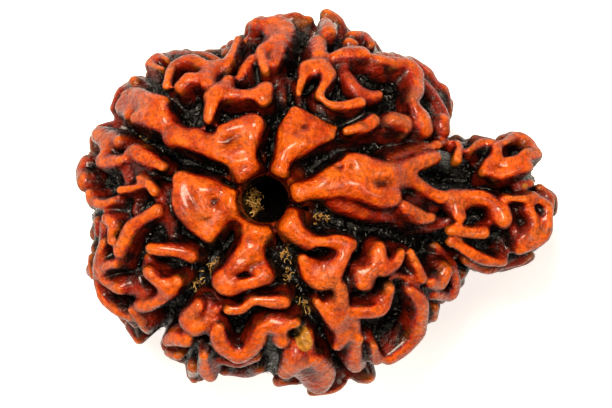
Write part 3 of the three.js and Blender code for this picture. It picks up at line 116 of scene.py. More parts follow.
RIDGES: dict[tuple[str, Crest], list[Chain]] = {
    ("a", Crest.TALL): [
        [(-1.3, 1.5, 0.35), (-1.45, 2.4, 0.8), (-1.2, 3.3, 0.75), (-0.75, 4.6, 0.75)],
        [(-1.5, 2.6, 0.8), (-2.8, 3.1, 0.65), (-4.0, 3.5, 0.65), (-5.4, 3.9, 0.85)],
        [(-0.9, 4.6, 0.7), (-2.3, 4.35, 0.5), (-2.8, 4.3, 0.4)],
        [(-7.9, 5.1, 0.4), (-7.1, 5.1, 0.65), (-6.2, 4.95, 0.65)],
        [(-9.05, 5.95, 0.45), (-8.35, 6.5, 0.6), (-7.4, 6.3, 0.4), (-6.3, 6.0, 0.35)],
        [(-9.0, 5.9, 0.45), (-8.5, 5.4, 0.3)],
        [(-7.15, 8.5, 0.45), (-6.8, 8.9, 0.45), (-6.3, 8.9, 0.3)],
        [(-7.2, 8.45, 0.4), (-6.5, 8.25, 0.3)],
        [(-6.15, 7.1, 0.3), (-5.85, 8.4, 0.4), (-4.8, 8.75, 0.35), (-3.8, 8.4, 0.35)],
        [(-5.25, 7.0, 0.45), (-4.8, 7.5, 0.45), (-4.2, 7.6, 0.4), (-3.5, 8.0, 0.55), (-3.1, 8.4, 0.4)],
        [(-3.5, 7.9, 0.5), (-3.7, 7.2, 0.4)],
        [(-2.4, 7.3, 0.5), (-2.7, 6.7, 0.7), (-3.5, 6.4, 0.35)],
        [(-2.7, 6.6, 0.6), (-1.4, 6.5, 0.45), (-0.2, 6.7, 0.65)],
        [(-3.1, 6.6, 0.4), (-3.35, 5.7, 0.35), (-3.55, 5.1, 0.3)],
        [(-0.2, 6.9, 0.6), (-0.15, 6.3, 0.6)],
        [(-1.7, 10.0, 0.3), (-2.1, 9.0, 0.35), (-2.6, 8.3, 0.3)],
        [(-0.4, 10.9, 0.6), (0.6, 11.0, 0.5), (1.1, 10.6, 0.6), (1.1, 9.8, 0.6), (0.55, 8.6, 0.5)],
        [(0.7, 10.1, 0.45), (-0.1, 9.5, 0.5), (-0.2, 8.9, 0.45), (-0.1, 8.2, 0.3)],
    ],
    ("a", Crest.PLATE): [
        [(-1.25, 1.15, 0.25), (-1.4, 1.9, 0.5)],
        [(-1.6, 3.5, 0.6), (-2.2, 3.85, 0.6), (-3.3, 3.95, 0.5), (-4.4, 4.15, 0.5)],
        [(-8.9, 5.9, 0.45), (-8.2, 5.85, 0.55), (-7.4, 5.7, 0.5), (-6.8, 5.6, 0.4)],
        [(-3.1, 8.0, 0.6), (-3.6, 7.5, 0.65)],
        [(0.3, 10.5, 0.6), (0.4, 9.6, 0.65), (0.5, 8.9, 0.5)],
    ],
    ("a", Crest.MIDDLE): [
        [(-0.8, 8.9, 0.3), (-1.3, 8.1, 0.35), (-1.6, 7.6, 0.3)],
        [(-9.5, 5.9, 0.4), (-9.0, 6.9, 0.45), (-8.2, 7.35, 0.4)],
    ],
    ("a", Crest.WEB): [
        [(-6.1, 4.75, 0.4), (-5.7, 4.4, 0.5)],
        [(-3.4, 7.2, 0.4), (-2.9, 7.2, 0.45)],
    ],
    ("a", Crest.LOW): [
        [(-6.5, 9.0, 0.3), (-5.2, 9.15, 0.4), (-4.0, 9.0, 0.35), (-3.0, 8.7, 0.3)],
        [(1.2, 11.3, 0.4), (1.8, 11.4, 0.45), (2.1, 11.0, 0.3)],
        [(-1.3, 9.9, 0.25), (-0.8, 10.3, 0.25)],
    ],
    ("a", Crest.SHELF): [
        [(-6.1, 6.1, 0.35), (-5.65, 6.35, 0.3), (-5.8, 6.9, 0.3)],
        [(0, 7.8, 0.45), (0.6, 7.5, 0.5), (1.3, 7.2, 0.5), (1.9, 7.0, 0.35)],
        [(1.0, 6.7, 0.45), (1.1, 6.2, 0.3)],
    ],
    ("b", Crest.TALL): [
        [(-5.2, 1.3, 0.65), (-3.8, 0.8, 0.75), (-2.5, 0, 0.7), (-3.0, -1.3, 0.8), (-3.6, -2.2, 0.6)],
        [(-5.2, 1.2, 0.65), (-5.1, -0.2, 0.7), (-4.2, -1.3, 0.85), (-3.6, -2.2, 0.6)],
        [(-4.2, 0.4, 0.8), (-3.9, -0.6, 0.9)],
        [(-8.05, 3.0, 0.45), (-7.2, 2.5, 0.6), (-6.45, 2.1, 0.5)],
        [(-10.4, 4.1, 0.4), (-9.7, 4.0, 0.45), (-9.2, 3.75, 0.4)],
        [(-10.3, 4.0, 0.4), (-10.05, 3.1, 0.35), (-10.1, 2.5, 0.5), (-9.5, 2.4, 0.55), (-9.0, 2.5, 0.35)],
        [(-11.2, 2.3, 0.5), (-11.4, 1.7, 0.5), (-11.2, 1.2, 0.5)],
        [(-10.85, 0.45, 0.25), (-10.75, -0.05, 0.3), (-10.2, -0.3, 0.3), (-9.6, -0.15, 0.25)],
        [(-9.0, 0.45, 0.4), (-8.4, 0.6, 0.4), (-7.9, 0.8, 0.35)],
        [(-8.0, 1.3, 0.35), (-7.3, 0.95, 0.45), (-6.9, 0.5, 0.4)],
        [(-6.7, -0.7, 0.5), (-7.4, -1.1, 0.5), (-8.3, -1.7, 0.5), (-8.7, -2.6, 0.5), (-9.0, -3.3, 0.5)],
        [(-9.9, -1.2, 0.4), (-9.4, -1.4, 0.5), (-9.6, -2.1, 0.35), (-9.6, -2.6, 0.3)],
        [(-10.1, -2.6, 0.35), (-10.5, -4.2, 0.4), (-10.2, -5.9, 0.4), (-9.0, -7.1, 0.4), (-8.5, -7.4, 0.3)],
        [(-10.4, -4.7, 0.3), (-9.9, -4.1, 0.35), (-9.3, -4.05, 0.3)],
        [(-10.1, -5.1, 0.35), (-9.5, -5.35, 0.5), (-9.1, -5.5, 0.45)],
        [(-6.9, -2.9, 0.35), (-5.9, -2.95, 0.55), (-5.1, -3.25, 0.55), (-4.6, -3.5, 0.55)],
        [(-7.1, -4.5, 0.4), (-6.6, -5.0, 0.5), (-6.1, -5.4, 0.55)],
        [(-5.6, -4.95, 0.4), (-6.1, -5.4, 0.55), (-6.5, -6.1, 0.45), (-7.2, -6.5, 0.5), (-7.8, -6.6, 0.5)],
        [(-8.4, -6.9, 0.3), (-7.9, -7.6, 0.4), (-7.5, -8.1, 0.45)],
    ],
    ("b", Crest.PLATE): [
        [(-8.3, 2.9, 0.5), (-7.8, 2.6, 0.5), (-7.1, 2.2, 0.5)],
    ],
    ("b", Crest.WEB): [
        [(-8.3, 2.6, 0.4), (-8.5, 1.8, 0.4), (-8.4, 1.1, 0.45)],
        [(-7.9, 2.2, 0.5), (-7.6, 1.5, 0.5), (-7.3, 1.2, 0.4)],
        [(-6.6, 0.4, 0.5), (-6.35, -0.3, 0.5), (-6.1, -1.0, 0.4)],
        [(-9.8, -1.7, 0.6), (-10.0, -2.4, 0.45), (-9.9, -3.0, 0.5), (-9.9, -3.5, 0.45)],
        [(-8.8, -5.5, 0.4), (-8.0, -5.5, 0.4), (-7.5, -5.7, 0.3)],
    ],
    ("b", Crest.LOW): [
        [(-10.4, 4.5, 0.3), (-9.8, 4.75, 0.3), (-9.2, 4.5, 0.3)],
        [(-10.8, 3.8, 0.25), (-10.8, 3.2, 0.3)],
        [(-8.1, 0.1, 0.2), (-8.25, -0.7, 0.2)],
        [(-10.5, -1.4, 0.25), (-10.5, -2.1, 0.25)],
        [(-10.9, -3.6, 0.25), (-11.0, -4.2, 0.25), (-10.9, -4.8, 0.25)],
        [(-8.6, -7.9, 0.3), (-8.0, -8.6, 0.3)],
    ],
    ("b", Crest.SHELF): [
        [(-5.9, 0.6, 0.35), (-5.85, -0.6, 0.4), (-5.7, -1.8, 0.4)],
        [(-7.9, -4.7, 0.4), (-7.8, -5.3, 0.5)],
        [(-7.3, -4.2, 0.3), (-7.1, -3.6, 0.3)],
    ],
    ("c", Crest.TALL): [
        [(-1.0, -2.0, 0.5), (-1.0, -3.0, 0.85), (-1.6, -4.0, 0.8), (-2.6, -5.0, 0.75)],
        [(-2.7, -4.9, 0.75), (-2.2, -5.3, 0.7), (-1.2, -5.1, 0.55), (-0.1, -4.65, 0.65)],
        [(-2.4, -6.8, 0.35), (-1.6, -6.85, 0.45), (-0.8, -6.35, 0.4), (0.3, -6.35, 0.45), (1.1, -6.2, 0.6)],
        [(-4.3, -6.5, 0.45), (-4.7, -7.3, 0.75), (-4.3, -7.8, 0.7)],
        [(-6.2, -8.7, 0.4), (-5.6, -8.5, 0.55), (-4.9, -8.8, 0.4)],
        [(-2.9, -7.9, 0.4), (-2.9, -8.4, 0.55), (-2.6, -9.2, 0.6), (-1.75, -9.6, 0.6)],
        [(-1.75, -9.6, 0.6), (-1.2, -9.4, 0.55), (-0.55, -8.75, 0.5), (-0.25, -8.0, 0.4)],
        [(0.1, -7.9, 0.4), (1.0, -7.9, 0.5), (1.8, -7.7, 0.5)],
        [(1, -8.1, 0.45), (1, -8.7, 0.5)],
        [(1.2, -10.7, 0.55), (2.0, -10.1, 0.6), (3.0, -9.9, 0.7), (3.5, -10.8, 0.8), (3.3, -11.4, 0.8)],
        [(1.9, -9.6, 0.5), (1.4, -10.3, 0.5)],
        [(-3.9, -9.8, 0.4), (-3.7, -10.6, 0.55), (-3.5, -11.0, 0.5)],
    ],
    ("c", Crest.PLATE): [
        [(-0.5, -2.0, 0.5), (-0.55, -3.0, 0.6), (-0.4, -3.9, 0.5), (0.1, -4.6, 0.6)],
        [(0.3, -7.5, 0.5), (1.2, -7.6, 0.5)],
        [(1.5, -9.5, 0.5), (1.6, -10.2, 0.5), (2.3, -10.7, 0.7), (2.8, -11.2, 0.8)],
    ],
    ("c", Crest.MIDDLE): [
        [(-3.6, -7.6, 0.5), (-3.1, -6.8, 0.45)],
        [(2.6, -8.3, 0.5), (2.5, -9.2, 0.65)],
        [(1.7, -8.7, 0.4), (1.9, -9.3, 0.4)],
        [(-6.2, -9.5, 0.35), (-5.5, -9.7, 0.4)],
    ],
    ("c", Crest.WEB): [
        [(-1.2, -1.5, 0.28), (-0.6, -1.5, 0.28)],
        [(-1.9, -4.5, 0.5), (-1, -4.6, 0.45), (-0.6, -4.4, 0.4)],
        [(-2.7, -10, 0.4), (-1.6, -10.2, 0.4), (-0.7, -9.8, 0.35)],
        [(-3.5, -6.4, 0.5), (-3.5, -7.2, 0.6), (-3.4, -8.0, 0.4)],
    ],
    ("c", Crest.LOW): [
        [(-4.6, -10.4, 0.3), (-4.5, -11.2, 0.35)],
        [(-2.6, -10.7, 0.5), (-1.5, -10.75, 0.5), (-0.4, -10.5, 0.45)],
        [(0.9, -11.3, 0.35), (2.0, -11.4, 0.3)],
        [(3.0, -12.0, 0.35), (4.2, -11.9, 0.35), (4.8, -11.5, 0.3)],
    ],
    ("c", Crest.SHELF): [
        [(-3.3, -6.0, 0.3), (-2.8, -6.4, 0.3)],
    ],
    ("d", Crest.TALL): [
        [(1.55, -0.8, 0.45), (2.0, -1.9, 0.6), (2.7, -2.45, 0.6)],
        [(2.4, -3.6, 0.4), (2.8, -4.4, 0.75), (3.4, -4.9, 0.7), (4.2, -4.6, 0.55), (5.2, -2.9, 0.45)],
        [(3.5, -2.5, 0.35), (4.4, -2.5, 0.5), (5.3, -2.7, 0.5)],
        [(4.6, -5.4, 0.35), (4.7, -6.4, 0.5), (4.5, -7.4, 0.8), (4.8, -8.3, 0.7), (4.6, -8.9, 0.55)],
        [(3.1, -6.3, 0.3), (3.6, -7.0, 0.5), (4.2, -7.5, 0.7)],
        [(6.5, -4.4, 0.55), (6.0, -5.0, 0.75)],
        [(7.0, -2.9, 0.5), (7.0, -3.6, 0.55), (7.4, -4.2, 0.5), (8.1, -3.9, 0.35), (8.4, -3.3, 0.3)],
        [(5.7, -7, 0.35), (6.6, -6.95, 0.4), (7.5, -6.6, 0.45), (7.8, -5.5, 0.35)],
        [(9, -3.3, 0.3), (9.4, -4.1, 0.4), (9.7, -4.8, 0.42)],
        [(11.2, -4.5, 0.5), (10.9, -5.1, 0.5), (10.3, -5.1, 0.4)],
        [(9.0, -5.6, 0.4), (9.6, -6.4, 0.55), (9.5, -7.5, 0.55), (9.0, -8.6, 0.55), (7.6, -9.7, 0.45)],
        [(5.8, -8.7, 0.35), (5.5, -9.6, 0.55), (5.5, -10.2, 0.55)],
        [(6.7, -9.2, 0.3), (6.8, -9.9, 0.4)],
    ],
    ("d", Crest.PLATE): [
        [(3.0, -3.9, 0.5), (3.6, -4.2, 0.6), (4.2, -3.9, 0.5)],
        [(4, -6.3, 0.4), (4.2, -7, 0.6)],
        [(5.2, -6.9, 0.45), (5.4, -7.7, 0.5), (5.5, -8.5, 0.35)],
        [(5.7, -4.5, 0.5), (6.2, -5.1, 0.6)],
        [(6.9, -6.5, 0.4), (7.4, -6.1, 0.5)],
    ],
    ("d", Crest.MIDDLE): [
        [(11.4, -4.2, 0.4), (11.8, -5.2, 0.4), (11.3, -5.9, 0.4), (10.4, -5.9, 0.35)],
        [(9.3, -4.8, 0.35), (8.6, -4.75, 0.28), (8, -4.6, 0.25)],
        [(10.6, -6.8, 0.25), (10.4, -7.4, 0.3)],
        [(5.9, -11.2, 0.5), (6.3, -11.2, 0.6)],
    ],
    ("d", Crest.WEB): [
        [(5.2, -4.9, 0.4), (5.1, -5.6, 0.4)],
        [(4.3, -3.2, 0.4), (4.9, -3.4, 0.4)],
        [(1.2, -1.4, 0.3), (1.35, -2.3, 0.35)],
    ],
    ("d", Crest.LOW): [
        [(5.4, -10.9, 0.35), (6, -10.9, 0.3)],
        [(10.6, -3.1, 0.3), (11.1, -3.9, 0.4)],
        [(9.5, -5.6, 0.4), (10.3, -5.6, 0.45)],
    ],
    ("d", Crest.SHELF): [
        [(0.5, -1.5, 0.25), (0.6, -2.4, 0.25)],
        [(1.75, -0.3, 0.25), (1.9, 0, 0.25)],
    ],
    ("e", Crest.TALL): [
        [(2.1, 0.4, 0.22), (2.9, 0.6, 0.5), (3.6, 0.8, 0.75), (5.0, 1.0, 0.9), (6.5, 0.4, 0.75),
         (7.8, 0.1, 0.55)],
        [(3.8, 1.2, 0.7), (5.0, 2.1, 0.75), (6.3, 1.8, 0.8), (7.8, 1.7, 0.8), (9.4, 2.3, 0.6),
         (10.5, 2.6, 0.4)],
        [(9.0, 1.2, 0.6), (9.9, 0.6, 0.5), (10.8, 0.2, 0.45)],
        [(8.6, -0.6, 0.45), (9.5, -1.1, 0.6), (10.3, -1.1, 0.45)],
    ],
    ("e", Crest.PLATE): [
        [(4.2, 1.5, 0.7), (5.2, 1.6, 0.7), (6.4, 1.2, 0.7), (7.6, 0.9, 0.6), (8.6, 1.2, 0.6)],
        [(5.0, 2.5, 0.5), (5.8, 2.3, 0.5)],
    ],
    ("e", Crest.MIDDLE): [
        [(7.6, 2.55, 0.25), (8.6, 2.85, 0.25), (10, 3.05, 0.3)],
    ],
    ("e", Crest.WEB): [
        [(1.65, 0.85, 0.25), (2.2, 0.6, 0.3)],
        [(4.0, 0.1, 0.5), (5.6, -0.3, 0.5), (7.2, -0.6, 0.5), (8.4, -0.2, 0.5)],
        [(8.4, -0.2, 0.5), (9.3, -0.2, 0.6), (10.3, -0.5, 0.5)],
        [(8.2, 2.4, 0.5), (9.2, 2.9, 0.4)],
    ],
    ("e", Crest.LOW): [
        [(4.5, -0.3, 0.5), (6.5, -0.8, 0.5), (8.3, -1.1, 0.5), (9.2, -1.6, 0.45), (10.4, -1.7, 0.45),
         (11.2, -1.5, 0.35)],
    ],
    ("f", Crest.TALL): [
        [(0.95, 2.0, 0.35), (1.3, 3.0, 0.65), (1.4, 4.3, 0.6), (1.9, 5.4, 0.55)],
        [(1.3, 2.9, 0.65), (2.5, 3.5, 0.65), (3.9, 4.0, 0.55)],
        [(4.9, 4.2, 0.45), (5.9, 4.5, 0.5), (6.7, 4.9, 0.5)],
        [(2.15, 6.5, 0.3), (2.35, 7.5, 0.35), (2.7, 8.3, 0.5), (3.4, 8.4, 0.55)],
        [(3.4, 8.4, 0.55), (3.75, 7.9, 0.45), (3.5, 7.0, 0.4), (3.3, 6.5, 0.4)],
        [(3.4, 6.3, 0.4), (4.0, 5.9, 0.5), (5.0, 5.8, 0.6), (5.8, 6.0, 0.5)],
        [(3.15, 9.8, 0.6), (3.3, 9.1, 0.55)],
        [(4.2, 9.0, 0.4), (5.0, 9.0, 0.55), (5.8, 9.0, 0.55)],
        [(3.7, 11.0, 0.45), (3.8, 10.4, 0.45)],
        [(7.0, 8.6, 0.4), (8.0, 8.4, 0.45), (8.8, 8.3, 0.35), (9.2, 7.8, 0.4)],
        [(9.25, 7.7, 0.42), (9.35, 6.8, 0.45), (9.15, 6, 0.45), (9.6, 5.1, 0.55), (9.8, 4.4, 0.5)],
        [(7.9, 4.9, 0.65), (8.5, 4.7, 0.7)],
        [(11.0, 5.0, 0.5), (11.0, 4.3, 0.45)],
    ],
    ("f", Crest.PLATE): [
        [(1.7, 4.2, 0.5), (2.2, 3.9, 0.6), (3, 4.2, 0.5)],
        [(2.1, 4.7, 0.6), (2.8, 4.7, 0.6), (3.5, 4.45, 0.5), (4.1, 4.25, 0.4)],
        [(2.9, 8.2, 0.45), (3.3, 8.0, 0.45)],
    ],
    ("f", Crest.MIDDLE): [
        [(2, 5.45, 0.5), (2.9, 5.1, 0.4), (3.7, 4.7, 0.4), (4.3, 4.5, 0.3)],
        [(5.2, 9.8, 0.25), (5.5, 9.7, 0.25)],
        [(5.3, 10.2, 0.3), (6.2, 10.2, 0.3), (6.6, 9.7, 0.35)],
        [(6.6, 8.8, 0.35), (7.8, 9.0, 0.4), (9.0, 8.7, 0.4), (10.0, 8.0, 0.4)],
    ],
    ("f", Crest.WEB): [
        [(0.45, 1.6, 0.25), (0.55, 2.4, 0.25)],
        [(2.1, 4.9, 0.45), (2.6, 4.7, 0.45)],
        [(4.5, 8.6, 0.5), (4.8, 7.8, 0.4)],
        [(3.1, 6.5, 0.35), (3.4, 6.4, 0.35)],
        [(8.9, 5.3, 0.5), (9.2, 5.0, 0.4)],
        [(5.1, 7.4, 0.35), (5.6, 6.8, 0.35), (6.4, 6.4, 0.4), (7.0, 6.5, 0.35)],
    ],
    ("f", Crest.LOW): [
        [(3.9, 11.5, 0.4), (4.6, 11.2, 0.4), (4.9, 10.4, 0.35)],
        [(2.6, 11.2, 0.3), (2.8, 10.6, 0.25)],
        [(9.8, 8.1, 0.3), (10.5, 7.2, 0.35), (10.8, 6.3, 0.3)],
        [(11.0, 6.9, 0.3), (11.4, 6.0, 0.35), (11.5, 5.3, 0.3)],
    ],
    ("f", Crest.SHELF): [
        [(1.3, 1.5, 0.25), (1.6, 1.15, 0.25)],
    ],
}

TRUNK_RIDGES: dict[Crest, list[Chain]] = {
    Crest.TALL: [
        [(10.6, 3.35, 0.3), (11.3, 3.55, 0.3), (12, 3.4, 0.45), (12, 2.6, 0.4)],
        [(12.7, 3.2, 0.35), (13.4, 3.6, 0.4), (14.2, 3.4, 0.42), (14.3, 2.9, 0.35)],
        [(13.6, 1.9, 0.4), (13.9, 2.3, 0.5)],
        [(13.9, 2.1, 0.5), (14.3, 1.6, 0.42), (15.2, 1.7, 0.4), (16.1, 2, 0.4)],
        [(14.8, 3.5, 0.3), (15.5, 3.9, 0.35), (16.3, 3.6, 0.4), (16.8, 3.0, 0.35)],
        [(14.8, 2.3, 0.25), (15.9, 2.7, 0.3), (16.8, 2.8, 0.4)],
        [(11.5, 0.2, 0.5), (12.6, 0.1, 0.6), (13.7, 0, 0.65), (14.5, -0.6, 0.6), (14.8, -1.2, 0.5)],
        [(12, -0.2, 0.6), (12, -0.9, 0.45), (12.15, -1.15, 0.35)],
        [(14.9, -0.6, 0.5), (15.1, -1.2, 0.45)],
        [(14.9, 0.1, 0.3), (15.8, 0, 0.4), (16.6, 0, 0.4)],
        [(16.8, 0.2, 0.35), (17.5, -0.3, 0.45), (17.5, -1.1, 0.5), (17.3, -2.1, 0.55), (15.9, -3.1, 0.5)],
        [(11.6, -2, 0.3), (12.6, -2.15, 0.26), (13.6, -2.05, 0.3)],
        [(11.5, -2.8, 0.3), (12.6, -3.25, 0.35), (13.6, -3.75, 0.3), (14.9, -3.85, 0.3)],
    ],
    Crest.PLATE: [
        [(11.6, -0.3, 0.5), (12.3, -0.3, 0.5)],
        [(16.2, -0.6, 0.55), (16.6, -1.3, 0.6), (16.4, -2, 0.6), (15.9, -2.5, 0.4)],
        [(14.3, -1.0, 0.6), (14.9, -1.4, 0.5)],
    ],
    Crest.WEB: [
        [(13.2, 2.9, 0.45), (14.0, 3.0, 0.4)],
        [(15.75, -0.4, 0.35), (16.3, -0.8, 0.6), (16.8, -1.5, 0.6), (16.3, -2.3, 0.6)],
        [(16.4, -0.7, 0.5), (17.1, -0.7, 0.45)],
        [(15.3, -0.9, 0.5), (15.4, -1.8, 0.45)],
        [(15.6, 0.75, 0.25), (16.5, 0.95, 0.3)],
    ],
    Crest.LOW: [
        [(17.2, 0.6, 0.3), (17.8, 0.1, 0.3), (17.8, -0.7, 0.25)],
        [(12.4, -3.7, 0.3), (13.2, -4.1, 0.35), (14.4, -4.3, 0.35), (15.8, -4.0, 0.35), (16.6, -3.5, 0.3)],
    ],
    Crest.SHELF: [
        [(10.9, -3.1, 0.3), (11.5, -3.4, 0.3)],
    ],
}


def blend(first: np.ndarray, second: np.ndarray, width: float) -> np.ndarray:
    """Give the lesser of two distances, rounded over `width` where they meet."""
    overlap = np.maximum(width - np.abs(first - second), 0) / width
    return np.minimum(first, second) - overlap * overlap * (width / 4)


def bell(distance: np.ndarray, width: float) -> np.ndarray:
    """Give 1 at no distance, falling smoothly to nothing over a few widths."""
    return np.exp(-((distance / width) ** 2))


def fade(value: np.ndarray, start: float, end: float) -> np.ndarray:
    """Give 0 at `start` and 1 at `end`, smooth at both."""
    share = np.clip((value - start) / (end - start), 0, 1)
    return share * share * (3 - 2 * share)


class GrooveMap:
    """The straight stretches of every groove's centre line, measured all at once."""

    def __init__(self, grooves: list[Groove]) -> None:
        """Gather the stretches and note where each groove's first one is."""
        starts = [point for groove in grooves for point in groove.line[:-1]]
        ends = [point for groove in grooves for point in groove.line[1:]]
        self.start = np.array(starts)
        self.run = np.array(ends) - self.start
        self.length = (self.run**2).sum(1)
        self.first = np.cumsum([0] + [len(groove.line) - 1 for groove in grooves[:-1]])
        self.half_width = np.array([groove.half_width for groove in grooves])

    def distances(self, x: np.ndarray, y: np.ndarray) -> np.ndarray:
        """Measure how far places in plan are from each groove.

        Args:
            x: The places' x.
            y: The places' y.

        Returns:
            The distances, with one more axis that holds the grooves.
        """
        gap_x, gap_y = x[..., None] - self.start[:, 0], y[..., None] - self.start[:, 1]
        along = (gap_x * self.run[:, 0] + gap_y * self.run[:, 1]) / self.length
        share = np.clip(along, 0, 1)
        away = np.hypot(gap_x - share * self.run[:, 0], gap_y - share * self.run[:, 1])
        return np.minimum.reduceat(away, self.first, axis=-1)


GROOVE_MAP = GrooveMap(GROOVES)


@dataclass(frozen=True)
class Swell:
    """A place round the body where its outline stands out or falls back."""

    azimuth: float
    half_width: float
    out: float


@dataclass(frozen=True)
class Ground:
    """The surface that the ridges stand on: a squat body, a trunk and grooves."""

    centre: Point = (0.45, -0.45)
    radius: float = 10.45
    half_height: float = 8.6
    power: float = 2.25
    swells: tuple[Swell, ...] = (
        Swell(108, 10, -1.0),
        Swell(264, 12, -1.0),
        Swell(42, 25, 0.5),
        Swell(335, 14, 0.6),
        Swell(343, 7, 0.5),
        Swell(29, 7, 0.4),
    )
    pole_radius: float = 2.0
    pole_depth: float = 0.9
    trunk: Corner = (13.3, -0.35, 0.4)
    trunk_reach: Corner = (4.1, 3.15, 3.5)
    neck_blend: float = 3.0
    groove_depth: float = 0.45
    crown: float = 0.45
    crown_reach: float = 2.2
    search_reach: float = 13.0
    search_stride: float = 0.25
    search_halvings: int = 24
    settle_rounds: int = 3
    slope_step: float = 0.05

    @property
    def mouth_level(self) -> float:
        """Height of the hole's mouth over the middle plane."""
        return self.half_height - self.pole_depth

    def body_height(self, x: np.ndarray, y: np.ndarray, z: np.ndarray) -> np.ndarray:
        """Measure heights over the squat body.

        Args:
            x: The places' x.
            y: The places' y.
            z: The places' heights over the middle plane.

        Returns:
            The distance outside the body, negative inside.
        """
        dx, dy = x - self.centre[0], y - self.centre[1]
        azimuth = np.degrees(np.arctan2(dy, dx))
        radius = self.radius
        for swell in self.swells:
            aside = (azimuth - swell.azimuth + 900) % 360 - 180
            radius = radius + swell.out * bell(aside, swell.half_width)
        plan = np.maximum(np.hypot(dx, dy), 1e-6) / radius
        up = np.maximum(np.abs(z), 1e-6) / self.half_height
        level = (plan**self.power + up**self.power) ** (1 / self.power)
        slope_plan = (plan / level) ** (self.power - 1) / radius
        slope_up = (up / level) ** (self.power - 1) / self.half_height
        pole = self.pole_depth * bell(np.hypot(x, y), self.pole_radius)
        return (level - 1) / np.hypot(slope_plan, slope_up) + pole

    def trunk_height(self, x: np.ndarray, y: np.ndarray, z: np.ndarray) -> np.ndarray:
        """Measure heights over the trunk's egg shape.

        Args:
            x: The places' x.
            y: The places' y.
            z: The places' heights over the middle plane.

        Returns:
            The distance outside the trunk, negative inside.
        """
        (cx, cy, cz), (rx, ry, rz) = self.trunk, self.trunk_reach
        qx, qy, qz = (x - cx) / rx, (y - cy) / ry, (z - cz) / rz
        level = np.maximum(np.sqrt(qx * qx + qy * qy + qz * qz), 1e-6)
        slope = np.sqrt((qx / rx) ** 2 + (qy / ry) ** 2 + (qz / rz) ** 2)
        return level * (level - 1) / slope

    def level(self, x: np.ndarray, y: np.ndarray, z: np.ndarray) -> np.ndarray:
        """Measure heights over the body and the trunk, without the grooves."""
        return blend(self.body_height(x, y, z), self.trunk_height(x, y, z), self.neck_blend)

    def height(self, x: np.ndarray, y: np.ndarray, z: np.ndarray) -> np.ndarray:
        """Measure heights over the ground, grooves and crowned lobes included.

        Args:
            x: The places' x.
            y: The places' y.
            z: The places' heights over the middle plane.

        Returns:
            The distance outside the ground, negative inside.
        """
        height = self.level(x, y, z)
        away = GROOVE_MAP.distances(x, y)
        depth = self.groove_depth * bell(away, GROOVE_MAP.half_width).sum(-1)
        return height + depth - self.crown * (1 - bell(away.min(-1), self.crown_reach))

    def height_at(self, places: np.ndarray) -> np.ndarray:
        """Measure heights over the ground at places given as rows of x, y and z."""
        return self.height(places[..., 0], places[..., 1], places[..., 2])

    def outward(self, places: np.ndarray) -> np.ndarray:
        """Find the way out of the ground.

        Args:
            places: Rows of x, y and z.

        Returns:
            A direction of length 1 for each row.
        """
        steps = self.slope_step * np.eye(3)
        rise = self.height_at(places[..., None, :] + steps) - self.height_at(places[..., None, :] - steps)
        return rise / np.linalg.norm(rise, axis=-1, keepdims=True)

    def settle(self, places: np.ndarray, over: np.ndarray) -> np.ndarray:
        """Move places to the nearest that lie a given height over the ground.

        Args:
            places: Rows of x, y and z.
            over: The height wanted for each row.

        Returns:
            The moved rows.
        """
        for _ in range(self.settle_rounds):
            gap = self.height_at(places) - over
            places = places - gap[..., None] * self.outward(places)
        return places

    def find_z(self, x: np.ndarray, y: np.ndarray, over: np.ndarray, side: int) -> np.ndarray:
        """Find how high or low the surface that lies `over` the ground is.

        Args:
            x: The places' x.
            y: The places' y.
            over: The height over the ground wanted for each place.
            side: 1 for the upper side of the seed, -1 for the lower.

        Returns:
            The height over the middle plane, or the nearest approach where
            the surface doesn't reach so far out.
        """
        levels = np.arange(self.search_reach, 0, -self.search_stride)
        gaps = self.height(x[:, None], y[:, None], side * levels[None, :]) - over[:, None]
        under = gaps < 0
        first = np.argmax(under, axis=1)
        low = levels[first]
        high = low + self.search_stride
        for _ in range(self.search_halvings):
            middle = (low + high) / 2
            inside = self.height(x, y, side * middle) - over < 0
            low, high = np.where(inside, middle, low), np.where(inside, high, middle)
        nearest = levels[np.argmin(gaps, axis=1)]
        return side * np.where(under.any(axis=1), low, nearest)


@dataclass
class Spine:
    """A ridge's axis: its points, its half-widths, and its heights over the ground and body."""

    places: np.ndarray
    width: np.ndarray
    over: np.ndarray
    level: np.ndarray


@dataclass(frozen=True)
class Wander:
    """How ridges wander over the ground where no traced ridge stands."""

    starts: int = 900
    spacing: float = 1.75
    clearance: float = 1.35
    groove_clearance: float = 1.0
    stride: float = 0.6
    steps: int = 6
    half_width: float = 0.45
    highest: float = 1.2
    crests: tuple[float, ...] = (1.8, 1.5, 1.2, 0.9)
    trunk_share: int = 6
    shows: float = 0.0


LOW_WANDER = Wander(
    starts=1800,
    spacing=1.35,
    clearance=1.2,
    half_width=0.42,
    highest=3.0,
    crests=(1.2, 0.9, 0.7, 0.5),
    trunk_share=9,
    shows=0.5,
)


